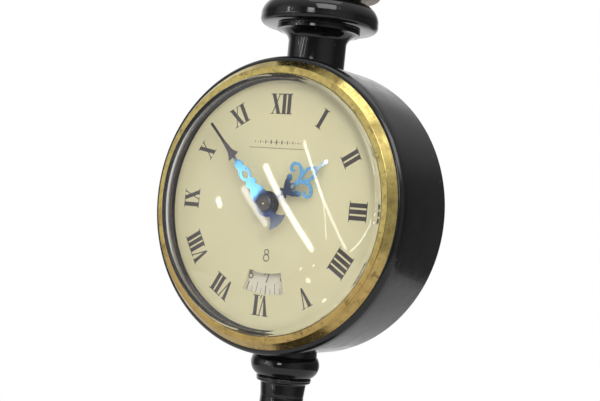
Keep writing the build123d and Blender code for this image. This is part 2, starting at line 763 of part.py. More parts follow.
def day_ring_seat():
    """Ring on the front plate that carries the day ring and backs the dial."""
    ledge = RING_LEVEL - SHAKE
    return in_drum(turned([
        (RING_OUTER - 1.0, PLATE_FRONT),
        (PLATE_RADIUS, PLATE_FRONT),
        (PLATE_RADIUS, DIAL_BACK),
        (RING_OUTER + RUNNING, DIAL_BACK),
        (RING_OUTER + RUNNING, ledge),
        (RING_OUTER - 1.0, ledge),
    ]))


# ---------------------------------------------------------------- hands

def both_sides(right):
    """Closed outline from its right-hand side, drawn upwards."""
    left = []
    for number in range(len(right) - 1, -1, -1):
        above = right[number + 1] if number + 1 < len(right) else ()
        bow = above[2] if len(above) > 2 else 0
        left.append((-right[number][0], right[number][1], bow))
    return right + left


def one_side(points, side, low, high):
    """Plate drawn for the right-hand side, or its mirror image."""
    turned_over = [(side * x, y, *(side * bow for bow in rest)) for x, y, *rest in points]
    return plate(turned_over, low, high)


def hour_hand():
    """Blued hand: hub, crossed leaves, open diamond, two scrolls, almond loop and beaded tip."""
    low = HOUR_HAND_LEVEL
    high = low + HAND_THICKNESS
    long = HOUR_HAND_LENGTH
    leaf = [
        (-0.080 * long, 0.260 * long),
        (-0.055 * long, 0.240 * long),
        (0.030 * long, 0.290 * long),
        (0.105 * long, 0.355 * long, -0.1),
        (0.125 * long, 0.400 * long, -0.15),
        (0.155 * long, 0.425 * long, -0.15),
        (0.140 * long, 0.470 * long, -0.25),
        (0.095 * long, 0.460 * long, -0.2),
        (0.070 * long, 0.410 * long, -0.15),
        (-0.010 * long, 0.325 * long, -0.1),
    ]
    scroll = [
        (0.023 * long, 0.500 * long),
        (0.079 * long, 0.581 * long, 0.15),
        (0.153 * long, 0.614 * long, 0.12),
        (0.215 * long, 0.563 * long, 0.2),
        (0.190 * long, 0.523 * long, 0.15),
        (0.173 * long, 0.541 * long),
        (0.141 * long, 0.523 * long, -0.2),
        (0.194 * long, 0.486 * long, -0.25),
        (0.251 * long, 0.567 * long, -0.35),
        (0.157 * long, 0.650 * long, -0.45),
        (0.060 * long, 0.640 * long, -0.1),
        (0.023 * long, 0.600 * long),
    ]
    body = ring(HOUR_HUB, HOUR_PIPE, low, high)
    for side in (-1, 1):
        body = body + one_side(leaf, side, low, high) + one_side(scroll, side, low, high)
    body = body + plate(both_sides([
        (0.5, HOUR_PIPE + 0.3),
        (0.4, 0.36 * long),
        (0.055 * long, 0.410 * long),
        (0.024 * long, 0.460 * long),
        (0.024 * long, 0.560 * long),
        (0.083 * long, 0.690 * long, -0.25),
        (0.020 * long, 0.825 * long, -0.35),
        (0.016 * long, long - 0.6),
    ]), low, high)
    for height, radius in HOUR_BEADS:
        body = body + disc(radius, low, high, (0, height * long))
    almond = plate(both_sides([
        (0.005 * long, 0.575 * long),
        (0.050 * long, 0.690 * long, -0.12),
        (0.012 * long, 0.785 * long, -0.15),
    ]), low, high)
    diamond = plate([
        (0, 0.375 * long),
        (0.028 * long, 0.410 * long),
        (0, 0.445 * long),
        (-0.028 * long, 0.410 * long),
    ], low, high)
    return in_drum(hand_frame(HOUR_ANGLE) * (body - almond - diamond))


def minute_hand():
    """Blued hand: flared tail, scalloped root, oval eye, lobed neck and a barbed point."""
    low = MINUTE_HAND_LEVEL
    high = low + HAND_THICKNESS
    long = MINUTE_HAND_LENGTH
    blade = plate(both_sides([
        (0.079 * long, 0.050 * long),
        (0.076 * long, 0.117 * long, -0.1),
        (0.034 * long, 0.210 * long, -0.3),
        (0.058 * long, 0.247 * long, -0.15),
        (0.033 * long, 0.285 * long, -0.2),
        (0.034 * long, 0.302 * long, 0.06),
        (0.060 * long, 0.357 * long, -0.2),
        (0.031 * long, 0.440 * long, -0.3),
        (0.043 * long, 0.474 * long, -0.12),
        (0.033 * long, 0.505 * long, -0.1),
        (0.027 * long, 0.515 * long, -0.04),
        (0.014 * long, 0.529 * long),
        (0.014 * long, 0.574 * long),
        (0.064 * long, 0.584 * long),
        (0.021 * long, 0.694 * long, 0.3),
        (0.0115 * long, 0.825 * long, 0.05),
        (0.0115 * long, long),
    ]), low, high)
    tail = plate([
        (-0.8, -0.5 * TAIL_REACH),
        (-TAIL_HALF_WIDTH, -0.88 * TAIL_REACH, 0.35),
        (TAIL_HALF_WIDTH, -0.88 * TAIL_REACH, -0.12 * TAIL_REACH),
        (0.8, -0.5 * TAIL_REACH, 0.35),
    ], low, high)
    eye = plate(both_sides([
        (0.002 * long, 0.308 * long),
        (0.031 * long, 0.354 * long, -0.25),
        (0.002 * long, 0.400 * long, -0.25),
    ]), low, high)
    hub = disc(MINUTE_HUB, low, high)
    neck = bar((0, 0), (0, -0.6 * TAIL_REACH), 1.6, low, high)
    body = blade + hub + neck + tail - eye - disc(CENTRE_ARBOR, low, high)
    return in_drum(hand_frame(MINUTE_ANGLE) * body)


def hand_cap():
    low = MINUTE_HAND_LEVEL + HAND_THICKNESS
    return in_drum(turned([
        (0, low),
        (CAP_RADIUS, low),
        (CAP_RADIUS, low + 0.5 * CAP_HEIGHT),
        (0.6 * CAP_RADIUS, low + CAP_HEIGHT),
        (0, low + CAP_HEIGHT),
    ]))


# ---------------------------------------------------------------- movement frame

def movement_ring():
    """Ring that seats the movement in the drum and backs the dial's edge."""
    inner = PLATE_RADIUS + RUNNING
    outer = INNER_RADIUS - RUNNING
    body = turned([
        (inner, FRONT_PLATE_BACK),
        (outer, FRONT_PLATE_BACK),
        (outer, DIAL_BACK),
        (outer - 2.2, DIAL_BACK),
        (outer - 2.2, PLATE_FRONT),
        (inner, PLATE_FRONT),
    ])
    for angle in LEDGE_ANGLES:
        place = polar(INNER_RADIUS - LEDGE_WIDTH / 2, angle)
        body = body - disc(0.8, FRONT_PLATE_BACK, PLATE_FRONT - 0.4, place)
    for angle in DOG_ANGLES:
        body = body - disc(SCREW_RADIUS, FRONT_PLATE_BACK, PLATE_FRONT - 0.4, dog_place(angle))
    return in_drum(body)


def dog_place(angle):
    return polar(PLATE_RADIUS + 1.5, angle)


def movement_screws():
    """Three screws through the drum's ledge and three whose heads hold the front plate."""
    screws = []
    for angle in LEDGE_ANGLES:
        place = polar(INNER_RADIUS - LEDGE_WIDTH / 2, angle)
        ledge_back = FRONT_PLATE_BACK - 1.5
        screws.append(screw(place, ledge_back - 0.8, ledge_back, PLATE_FRONT - 0.6, LEDGE_WIDTH / 2 - 0.1, 0.8))
    for angle in DOG_ANGLES:
        screws.append(screw(dog_place(angle), FRONT_PLATE_BACK - 0.8, FRONT_PLATE_BACK, PLATE_FRONT - 0.6))
    return in_drum(Compound(children=screws))


def front_plate():
    """Dial-side plate with the studs of the motion work."""
    low = FRONT_PLATE_BACK
    high = PLATE_FRONT
    body = disc(PLATE_RADIUS, low, high)
    for place in JEWELLED:
        body = body - disc(JEWEL_RADIUS, low, high, place)
    body = body - disc(PIVOT_RADIUS + RUNNING, low, high, INTERMEDIATE)
    body = body - disc(BARREL_PIVOT + RUNNING, low, high, BARREL)
    body = body - disc(CENTRE_TUBE + RUNNING, low, high)
    for place in PILLARS:
        body = body - disc(SCREW_RADIUS, low, high, place)
    body = body + disc(STUD_RADIUS, high, DAY_WHEEL_LEVEL, MINUTE_WHEEL)
    body = body + disc(STUD_RADIUS, high, RING_LEVEL + RING_THICKNESS + PLAY, DAY_DRIVER)
    return in_drum(body)


def back_plate():
    """Plate under the back cover, with the click's stud."""
    low = PLATE_BACK
    high = BACK_PLATE_FRONT
    body = disc(PLATE_RADIUS, low, high)
    for place in JEWELLED[:-1]:
        body = body - disc(JEWEL_RADIUS, low, high, place)
    body = body - disc(STAFF_HOLE, low, high, BALANCE)
    body = body - disc(PIVOT_RADIUS + RUNNING, low, high, INTERMEDIATE)
    body = body - disc(BARREL_PIVOT + RUNNING, low, high, BARREL)
    body = body - disc(CENTRE_TUBE + RUNNING, low, high)
    for place in PILLARS + [COCK_FOOT]:
        body = body - disc(SCREW_RADIUS, low, high, place)
    body = body + disc(STUD_RADIUS, RATCHET_LEVEL - PLAY, low, CLICK)
    return in_drum(body)


def plate_pillars():
    """Distance pieces between the plates, with a riveting tenon in front and a thread behind."""
    pillars = []
    for place in PILLARS:
        pillar = disc(1.6, BACK_PLATE_FRONT, FRONT_PLATE_BACK, place)
        pillar = pillar + disc(SCREW_RADIUS, FRONT_PLATE_BACK, PLATE_FRONT, place)
        pillars.append(pillar - disc(SCREW_RADIUS, BACK_PLATE_FRONT, BACK_PLATE_FRONT + 2.0, place))
    return in_drum(Compound(children=pillars))


def plate_screws():
    screws = [screw(place, PLATE_BACK - 0.7, PLATE_BACK, BACK_PLATE_FRONT + 1.8) for place in PILLARS]
    screws.append(screw(COCK_FOOT, COCK_LEVEL - 0.7, COCK_LEVEL, BACK_PLATE_FRONT - 0.2))
    return in_drum(Compound(children=screws))


def jewels():
    """Pivot jewels pressed into both plates and the cock."""
    stones = []
    hole = PIVOT_RADIUS + RUNNING
    for place in JEWELLED:
        stones.append(ring(JEWEL_RADIUS, hole, FRONT_PLATE_BACK, FRONT_PLATE_BACK + 0.9, place))
    for place in JEWELLED[:-1]:
        stones.append(ring(JEWEL_RADIUS, hole, BACK_PLATE_FRONT - 0.9, BACK_PLATE_FRONT, place))
    stones.append(ring(JEWEL_RADIUS, hole, COCK_LEVEL, COCK_LEVEL + COCK_THICKNESS, BALANCE))
    return in_drum(Compound(children=stones))


# ---------------------------------------------------------------- mainspring and winding

def barrel():
    """Drum of the mainspring with the great wheel's teeth at its front end."""
    inner = BARREL_RADIUS - BARREL_WALL
    teeth = wheel(BARREL_MODULE, BARREL_TEETH, GREAT_WHEEL_LEVEL,
                  GREAT_WHEEL_LEVEL + GREAT_WHEEL_THICKNESS, BARREL, INTERMEDIATE)
    wall = ring(BARREL_RADIUS, inner, BARREL_LEVEL, GREAT_WHEEL_LEVEL, BARREL)
    hole = disc(BARREL_ARBOR + RUNNING, BARREL_LEVEL, GREAT_WHEEL_LEVEL + GREAT_WHEEL_THICKNESS, BARREL)
    return in_drum(teeth + wall - hole)


def barrel_cover():
    inner = BARREL_RADIUS - BARREL_WALL
    high = BARREL_LEVEL + BARREL_COVER_THICKNESS
    return in_drum(ring(inner, BARREL_ARBOR + RUNNING, BARREL_LEVEL, high, BARREL))


def mainspring():
    """Spring coiled in the barrel, its inner end just clear of the arbor."""
    outer = BARREL_RADIUS - BARREL_WALL - 0.5
    low = BARREL_LEVEL + BARREL_COVER_THICKNESS + PLAY
    coil = spiral(BARREL_ARBOR + 2.0, outer, 7, 0.35, low, GREAT_WHEEL_LEVEL - PLAY)
    return in_drum(Pos(*BARREL, 0) * coil)


def barrel_arbor():
    """Winding arbor: round in the barrel, with a square for the ratchet wheel and the key."""
    round_part = disc(BARREL_ARBOR, ARBOR_LOW, ARBOR_HIGH, BARREL)
    pivots = disc(BARREL_PIVOT, PLATE_BACK, PLATE_FRONT - 0.3, BARREL)
    middle = (KEY_LEVEL - 4.0 + PLATE_BACK) / 2
    square = Pos(*BARREL, middle) * Box(WINDING_SQUARE, WINDING_SQUARE, PLATE_BACK - KEY_LEVEL + 4.0)
    return in_drum(round_part + pivots + square)


def ratchet_wheel():
    """Saw-toothed wheel on the winding square."""
    points = []
    pitch = 360 / RATCHET_TEETH
    for number in range(RATCHET_TEETH):
        points.append(polar(RATCHET_RADIUS - 0.8, number * pitch))
        points.append(polar(RATCHET_RADIUS, number * pitch + 0.15 * pitch))
    high = PLATE_BACK - SHAKE
    body = plate(points, RATCHET_LEVEL, high)
    square = Pos(0, 0, (RATCHET_LEVEL + high) / 2) * Box(WINDING_SQUARE, WINDING_SQUARE, high - RATCHET_LEVEL)
    return in_drum(Pos(*BARREL, 0) * (body - square))


def click():
    """Pawl beside the ratchet wheel, its beak just clear of the teeth."""
    low = RATCHET_LEVEL
    high = PLATE_BACK - SHAKE
    beak = polar(RATCHET_RADIUS + PLAY, 20.0, BARREL)
    shoulder = polar(RATCHET_RADIUS + PLAY + 1.8, 24.0, BARREL)
    outer = polar(1.3, 20.0, CLICK)
    inner = polar(1.3, 175.0, CLICK)
    body = plate([beak, shoulder, outer, inner], low, high) + disc(1.6, low, high, CLICK)
    return in_drum(body - disc(STUD_RADIUS + RUNNING, low, high, CLICK))


def click_spring():
    """Bent wire behind the click, screwed to the back plate."""
    low = RATCHET_LEVEL + 0.1
    high = PLATE_BACK
    foot = polar(4.2, 25.0, CLICK)
    tip = polar(RATCHET_RADIUS + PLAY + 3.6, 26.0, BARREL)
    return in_drum(disc(1.1, low, high, foot) + bar(foot, tip, 0.3, low, high - SHAKE))


def winding_key():
    """Butterfly key with a square socket."""
    top = KEY_LEVEL
    hub = disc(2.4, top - 9.0, top)
    socket = Pos(0, 0, top - 2.25) * Box(WINDING_SQUARE, WINDING_SQUARE, 4.5)
    lobes = Part()
    for side in (-1, 1):
        lobe = Pos(4.8 * side, 0, top - 7.0) * Rot(90, 0, 0) * Cylinder(3.9, 1.6)
        hole = Pos(5.2 * side, 0, top - 7.0) * Rot(90, 0, 0) * Cylinder(1.9, 1.6)
        lobes = lobes + (lobe - hole)
    return in_drum(Pos(*BARREL, 0) * (hub + lobes - socket))


# ---------------------------------------------------------------- going train

def intermediate_wheel():
    leaves_low = GREAT_WHEEL_LEVEL - PINION_OVERHANG
    leaves_high = GREAT_WHEEL_LEVEL + GREAT_WHEEL_THICKNESS + PINION_OVERHANG
    body = wheel(INTERMEDIATE_MODULE, INTERMEDIATE_TEETH, INTERMEDIATE_LEVEL,
                 INTERMEDIATE_LEVEL + WHEEL_THICKNESS, INTERMEDIATE, CENTRE)
    leaves = pinion(BARREL_MODULE, INTERMEDIATE_LEAVES, leaves_low, leaves_high, INTERMEDIATE, BARREL)
    return in_drum(body + leaves + arbor(INTERMEDIATE))


def centre_wheel():
    """Hollow arbor round the minute arbor, with the centre wheel and its pinion."""
    tube_low = PLATE_BACK + SHAKE
    tube_high = PLATE_FRONT - SHAKE
    body = wheel(CENTRE_MODULE, CENTRE_TEETH, CENTRE_LEVEL, CENTRE_LEVEL + WHEEL_THICKNESS, CENTRE, THIRD)
    leaves = pinion(INTERMEDIATE_MODULE, CENTRE_LEAVES, INTERMEDIATE_LEVEL - PINION_OVERHANG,
                    INTERMEDIATE_LEVEL + WHEEL_THICKNESS + PINION_OVERHANG, CENTRE, INTERMEDIATE)
    tube = disc(CENTRE_TUBE, tube_low, tube_high)
    return in_drum(body + leaves + tube - disc(CENTRE_ARBOR + RUNNING, tube_low, tube_high))


def train_wheel(place, module, teeth, level, ahead, pinion_module, leaves, wheel_before, behind):
    """Arbor with a wheel that drives the next arbor and a pinion that the one before drives."""
    body = wheel(module, teeth, level, level + WHEEL_THICKNESS, place, ahead)
    drive = pinion(pinion_module, leaves, wheel_before - PINION_OVERHANG,
                   wheel_before + WHEEL_THICKNESS + PINION_OVERHANG, place, behind)
    return in_drum(body + drive + arbor(place))


def third_wheel():
    return train_wheel(THIRD, THIRD_MODULE, THIRD_TEETH, THIRD_LEVEL, FOURTH,
                       CENTRE_MODULE, THIRD_LEAVES, CENTRE_LEVEL, CENTRE)


def fourth_wheel():
    return train_wheel(FOURTH, FOURTH_MODULE, FOURTH_TEETH, FOURTH_LEVEL, ESCAPE,
                       THIRD_MODULE, FOURTH_LEAVES, THIRD_LEVEL, THIRD)


def escape_wheel():
    """Pointed wheel with its pinion."""
    pitch = 360 / ESCAPE_TEETH
    points = []
    for number in range(ESCAPE_TEETH):
        points.append(polar(ESCAPE_RADIUS - 1.0, number * pitch))
        points.append(polar(ESCAPE_RADIUS, number * pitch + 0.30 * pitch))
        points.append(polar(ESCAPE_RADIUS, number * pitch + 0.42 * pitch))
        points.append(polar(ESCAPE_RADIUS - 1.0, number * pitch + 0.45 * pitch))
    body = Pos(*ESCAPE, 0) * plate(points, ESCAPE_LEVEL, ESCAPE_LEVEL + WHEEL_THICKNESS)
    leaves = pinion(FOURTH_MODULE, ESCAPE_LEAVES, FOURTH_LEVEL - PINION_OVERHANG,
                    FOURTH_LEVEL + WHEEL_THICKNESS + PINION_OVERHANG, ESCAPE, FOURTH)
    return in_drum(body + leaves + arbor(ESCAPE))


# ---------------------------------------------------------------- escapement

def pallet_fork():
    """Lever with two pallet stones just clear of the escape wheel and a fork just short of the pin."""
    low = ESCAPE_LEVEL
    high = ESCAPE_LEVEL + WHEEL_THICKNESS
    reach = distance_of(FORK, BALANCE) - ROLLER_PIN - 0.6
    body = disc(0.9, low, high, FORK)
    body = body + bar(FORK, polar(reach - 0.8, LEVER_DIRECTION, FORK), 0.6, low, high)
    back = LEVER_DIRECTION + 180
    for side in (-1, 1):
        stone = polar(ESCAPE_RADIUS + 0.7, LEVER_DIRECTION + side * 32, ESCAPE)
        body = body + bar(FORK, stone, 0.6, low, high)
        root = polar(reach - 1.2, LEVER_DIRECTION, FORK)
        prong = polar(reach, LEVER_DIRECTION + side * 8, FORK)
        body = body + bar(root, prong, 0.4, low, high)
    return in_drum(body + arbor(FORK))


def balance_wheel():
    """Rim on two arms, with its staff, collet, roller and impulse pin."""
    high = BALANCE_LEVEL + WHEEL_THICKNESS
    rim = ring(BALANCE_RADIUS, BALANCE_RADIUS - 0.9, BALANCE_LEVEL, high)
    arms = Pos(0, 0, (BALANCE_LEVEL + high) / 2) * Box(2 * BALANCE_RADIUS - 1.0, 0.9, WHEEL_THICKNESS)
    staff = disc(ARBOR_RADIUS, COCK_LEVEL + COCK_THICKNESS + SHAKE, ARBOR_HIGH)
    pivots = disc(PIVOT_RADIUS, COCK_LEVEL + 0.1, ARBOR_HIGH + 0.9)
    collet = disc(0.9, HAIRSPRING_LEVEL, BALANCE_LEVEL)
    roller = disc(1.9, CENTRE_LEVEL, CENTRE_LEVEL + 0.4)
    pin = disc(0.25, CENTRE_LEVEL + 0.4, ESCAPE_LEVEL + WHEEL_THICKNESS, (ROLLER_PIN, 0))
    body = rim + arms + staff + pivots + collet + roller + pin
    return in_drum(Pos(*BALANCE, 0) * Rot(0, 0, LEVER_DIRECTION + 180) * body)


def hairspring():
    """Flat spiral round the balance staff, fixed at its outer end."""
    coil = spiral(1.3, HAIRSPRING_RADIUS, 7, 0.12, HAIRSPRING_LEVEL, HAIRSPRING_LEVEL + 0.3)
    return in_drum(Pos(*BALANCE, 0) * coil)


def balance_cock():
    """Bridge over the balance, with the hairspring's stud and the regulator's seat."""
    low = COCK_LEVEL
    high = COCK_LEVEL + COCK_THICKNESS
    body = disc(2.8, low, PLATE_BACK, COCK_FOOT) + disc(2.6, low, high, BALANCE)
    body = body + bar(BALANCE, COCK_FOOT, 3.0, low, high)
    body = body + disc(1.5, low - 0.5, low, BALANCE)
    stud = polar(HAIRSPRING_RADIUS + 0.3, 0, BALANCE)
    body = body + disc(0.5, low, HAIRSPRING_LEVEL + 0.3, stud) + bar(stud, BALANCE, 0.9, low, high)
    body = body - disc(JEWEL_RADIUS, low - 0.5, high, BALANCE)
    return in_drum(body - disc(SCREW_RADIUS, low, PLATE_BACK, COCK_FOOT))


def regulator():
    """Friction lever round the cock's boss; its finger comes out through the back cover."""
    low = COCK_LEVEL - 0.5
    high = COCK_LEVEL - SHAKE
    direction = direction_of(COCK_FOOT, BALANCE)
    finger = polar(REGULATOR_REACH, direction, BALANCE)
    body = disc(2.6, low, high, BALANCE) + bar(BALANCE, finger, 0.9, low, high)
    body = body + disc(0.5, COVER_BACK - 2.2, high, finger)
    return in_drum(body - disc(1.5 + RUNNING, low, high, BALANCE))


# ---------------------------------------------------------------- motion work

def cannon_pinion():
    """Minute arbor from the setting knob to the minute hand, with the cannon's leaves and pipe."""
    low = PLATE_FRONT + SHAKE + 0.2
    high = HOUR_WHEEL_LEVEL - SHAKE
    leaves = pinion(CANNON_MODULE, CANNON_LEAVES, low, high, CENTRE, MINUTE_WHEEL)
    pipe = disc(CENTRE_TUBE - SHAKE, high, MINUTE_HAND_LEVEL)
    shaft = disc(CENTRE_ARBOR, KEY_LEVEL - 2.5, MINUTE_HAND_LEVEL + HAND_THICKNESS)
    return in_drum(leaves + pipe + shaft)


def setting_knob():
    """Coin-edged knob at the back that turns the hands."""
    low = KEY_LEVEL - 2.5
    body = disc(3.6, low, KEY_LEVEL)
    for number in range(18):
        body = body - disc(0.35, low, KEY_LEVEL, polar(3.7, 20 * number))
    return in_drum(body - disc(CENTRE_ARBOR, low, KEY_LEVEL))


def minute_wheel():
    """Reduction wheel on its stud, between the cannon's leaves and the hour wheel."""
    high = MINUTE_WHEEL_LEVEL + WHEEL_THICKNESS
    top = DAY_WHEEL_LEVEL - PLAY
    body = wheel(CANNON_MODULE, MINUTE_TEETH, MINUTE_WHEEL_LEVEL, high, MINUTE_WHEEL, CENTRE)
    leaves = pinion(HOUR_MODULE, MINUTE_LEAVES, high, top, MINUTE_WHEEL, CENTRE)
    return in_drum(body + leaves - disc(STUD_RADIUS + RUNNING, MINUTE_WHEEL_LEVEL, top, MINUTE_WHEEL))


def hour_wheel():
    """Wheel on a pipe that carries the hour hand, with the leaves that drive the day ring."""
    top = HOUR_HAND_LEVEL + HAND_THICKNESS
    body = wheel(HOUR_MODULE, HOUR_TEETH, HOUR_WHEEL_LEVEL, HOUR_WHEEL_LEVEL + WHEEL_THICKNESS,
                 CENTRE, MINUTE_WHEEL)
    leaves = pinion(DAY_MODULE, DAY_LEAVES, HOUR_WHEEL_LEVEL + WHEEL_THICKNESS,
                    DAY_WHEEL_LEVEL + WHEEL_THICKNESS + PLAY, CENTRE, DAY_DRIVER)
    pipe = disc(HOUR_PIPE, HOUR_WHEEL_LEVEL, top)
    return in_drum(body + leaves + pipe - disc(CENTRE_TUBE - SHAKE + RUNNING, HOUR_WHEEL_LEVEL, top))


def day_driver():
    """Wheel that turns once a day; its finger moves the day ring on."""
    top = RING_LEVEL + RING_THICKNESS
    base = PLATE_FRONT + SHAKE
    reach = RING_TOOTH_TIP - PLAY - distance_of(CENTRE, DAY_DRIVER)
    body = wheel(DAY_MODULE, DAY_TEETH, DAY_WHEEL_LEVEL, DAY_WHEEL_LEVEL + WHEEL_THICKNESS,
                 DAY_DRIVER, CENTRE)
    hub = disc(1.4, base, top, DAY_DRIVER)
    tip = polar(reach - 0.1, DAY_DRIVER_DIRECTION, DAY_DRIVER)
    finger = bar(DAY_DRIVER, tip, 0.8, RING_LEVEL, top)
    return in_drum(body + hub + finger - disc(STUD_RADIUS + RUNNING, base, top, DAY_DRIVER))


def day_jumper():
    """Sprung beak that holds the day ring between steps."""
    top = RING_LEVEL + RING_THICKNESS
    post = polar(RING_TOOTH_TIP - 3.6, -30)
    beak = polar(RING_TOOTH_TIP - PLAY - 0.3, 5)
    body = disc(1.3, PLATE_FRONT, top, post)
    return in_drum(body + bar(post, beak, 0.5, RING_LEVEL, top))


PIECES = [
    base_foot, base_felt, base_weight, tie_rod, pedestal, column, column_capital, rod_nuts,
    neck, lantern_rod, lantern_tray, lantern_frame, lantern_panes, lantern_lamp, lantern_roof, lantern_finial,
    drum_shell, back_cover, back_cover_screws, bezel, crystal, crystal_gasket, dial_ring, dial,
    day_ring, day_ring_seat, hour_hand, minute_hand, hand_cap,
    movement_ring, movement_screws, front_plate, back_plate, plate_pillars, plate_screws, jewels,
    barrel, barrel_cover, mainspring, barrel_arbor, ratchet_wheel, click, click_spring, winding_key,
    intermediate_wheel, centre_wheel, third_wheel, fourth_wheel, escape_wheel,
    pallet_fork, balance_wheel, hairspring, balance_cock, regulator,
    cannon_pinion, setting_knob, minute_wheel, hour_wheel, day_driver, day_jumper,
]

os.makedirs("parts", exist_ok=True)
for piece in PIECES:
    export_step(piece(), f"parts/{piece.__name__}.step")
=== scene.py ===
"""Miniature street clock: case, dial, hands, post and lantern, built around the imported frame. Metres."""
import json
import math

import bmesh
import bpy
from mathutils import Matrix, Vector
from mathutils.geometry import delaunay_2d_cdt

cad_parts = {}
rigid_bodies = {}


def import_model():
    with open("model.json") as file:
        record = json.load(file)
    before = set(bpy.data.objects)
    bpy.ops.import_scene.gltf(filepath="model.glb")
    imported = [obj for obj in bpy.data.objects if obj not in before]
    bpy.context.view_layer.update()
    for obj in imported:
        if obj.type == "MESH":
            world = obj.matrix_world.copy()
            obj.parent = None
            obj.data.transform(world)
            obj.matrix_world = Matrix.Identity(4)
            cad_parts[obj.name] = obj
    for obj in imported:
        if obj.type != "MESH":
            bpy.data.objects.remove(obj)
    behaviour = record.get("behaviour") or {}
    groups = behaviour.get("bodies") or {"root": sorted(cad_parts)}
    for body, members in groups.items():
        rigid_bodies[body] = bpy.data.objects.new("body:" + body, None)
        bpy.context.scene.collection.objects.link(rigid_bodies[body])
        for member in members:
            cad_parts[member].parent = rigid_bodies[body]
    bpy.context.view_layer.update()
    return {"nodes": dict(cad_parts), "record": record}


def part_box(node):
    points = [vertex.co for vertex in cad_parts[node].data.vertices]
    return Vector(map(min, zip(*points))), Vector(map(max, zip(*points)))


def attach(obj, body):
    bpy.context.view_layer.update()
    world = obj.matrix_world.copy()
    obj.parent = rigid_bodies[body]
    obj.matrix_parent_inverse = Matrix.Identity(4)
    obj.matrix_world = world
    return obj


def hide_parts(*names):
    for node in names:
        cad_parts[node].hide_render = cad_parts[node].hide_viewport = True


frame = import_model()

MM = 0.001
TURNS = 144                    # steps round a large turned piece
DRUM_TURNS = 192
ARC_STEPS = 10                 # steps along a bowed edge of an outline

# ---- places and sizes read from the frame; below, outlines are in mm
def upright(name):
    """Foot, top and half width of a piece of the post."""
    low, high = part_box(name)
    return low[2] / MM, high[2] / MM, high[0] / MM


def along_drum(name):
    """Back, front and half width of a piece of the drum; the first two are forward of the post's axis."""
    low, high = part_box(name)
    return -high[1] / MM, -low[1] / MM, (high[0] - low[0]) / 2 / MM


shell_low, shell_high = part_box("drum_shell")
CENTRE = (shell_low[2] + shell_high[2]) / 2
BACK, FRONT, _ = along_drum("drum_shell")
BEAD_RADIUS = (shell_high[2] - CENTRE) / MM
BEAD_PROUD = 0.3               # the front bead stands this much proud of the drum's side
DRUM_RADIUS = BEAD_RADIUS - BEAD_PROUD
DRUM = Matrix.Translation((0, 0, CENTRE)) @ Matrix.Rotation(math.pi / 2, 4, "X")
POST = Matrix.Identity(4)
DIAL_LEVEL = along_drum("dial")[1]
_, BEZEL_TOP, BEZEL_RADIUS = along_drum("bezel")
BEZEL_FLANK = 1.85             # width of the bezel's slope, and then of its flat front
BEZEL_FACE = 1.85
BEZEL_INNER = BEZEL_RADIUS - BEZEL_FLANK - BEZEL_FACE
BEZEL_FOOT = 2.2               # width of the bezel where it sits on the drum
DIAL_RADIUS = 33.9             # the part of the dial that shows
CRYSTAL_TOP = BEZEL_TOP - 0.6  # top of the crystal's flange, held under the bezel
CRYSTAL_SEAT = CRYSTAL_TOP - 1.0
COLUMN_FOOT = 7.4
COLUMN_HEAD = 6.0
replaced = set()               # CAD nodes that a finer piece stands for


# ---- mesh helpers

def sampled(points):
    """Outline in mm with its bowed edges worked out; the third value bows the edge that arrives there."""
    out = []
    for here, there in zip(points[-1:] + points[:-1], points):
        bow = there[2] if len(there) > 2 else 0
        start, end = Vector(here[:2]), Vector(there[:2])
        if bow:
            chord = (end - start).length
            radius = (chord * chord / 4 + bow * bow) / (2 * abs(bow))
            side = Vector((start.y - end.y, end.x - start.x)) / chord * math.copysign(1, bow)
            centre = (start + end) / 2 + side * (abs(bow) - radius)
            first = math.atan2(start.y - centre.y, start.x - centre.x)
            sweep = 2 * math.asin(min(1, chord / (2 * radius)))
            if abs(bow) > radius:
                sweep = 2 * math.pi - sweep
            sweep = -math.copysign(sweep, bow)
            for step in range(1, ARC_STEPS):
                angle = first + sweep * step / ARC_STEPS
                out.append((centre.x + radius * math.cos(angle), centre.y + radius * math.sin(angle)))
        out.append((end.x, end.y))
    return out


def add_piece(name, mesh, body, replaces, finish):
    piece = bpy.data.objects.new(name, mesh)
    bpy.context.collection.objects.link(piece)
    mesh.materials.append(finish)
    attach(piece, body)
    if replaces:
        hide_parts(*replaces)
        replaced.update(replaces)
    return piece


def round_edges(piece, width, segments, angle):
    bevel = piece.modifiers.new("edge", "BEVEL")
    bevel.width = width * MM
    bevel.segments = segments
    bevel.limit_method = "ANGLE"
    bevel.angle_limit = math.radians(angle)
    bevel.harden_normals = True


def lathe(points, place, steps):
    """Closed turned mesh from an outline of radius and height in mm."""
    outline = sampled(points)
    mesh = bpy.data.meshes.new("turned")
    work = bmesh.new()
    rows = []
    for radius, height in outline:
        if radius < 1e-6:
            rows.append([work.verts.new(place @ Vector((0, 0, height * MM)))])
            continue
        row = []
        for step in range(steps):
            angle = 2 * math.pi * step / steps
            spot = Vector((radius * math.cos(angle), radius * math.sin(angle), height)) * MM
            row.append(work.verts.new(place @ spot))
        rows.append(row)
    for row, other in zip(rows, rows[1:] + rows[:1]):
        for step in range(steps):
            after = (step + 1) % steps
            corners = [row[step % len(row)], row[after % len(row)]]
            corners += [other[after % len(other)], other[step % len(other)]]
            corners = list(dict.fromkeys(corners))
            if len(corners) > 2:
                work.faces.new(corners)
    bmesh.ops.recalc_face_normals(work, faces=work.faces)
    work.to_mesh(mesh)
    work.free()
    return mesh


def turned(name, points, place, steps, edge, finish, replaces, body="root"):
    """Turned piece with small rounded edges."""
    piece = add_piece(name, lathe(points, place, steps), body, replaces, finish)
    piece.data.shade_smooth()
    piece.data.set_sharp_from_angle(angle=math.radians(30))
    round_edges(piece, edge, 3, 30)
    return piece


INK = 0.02                     # thickness of the printing


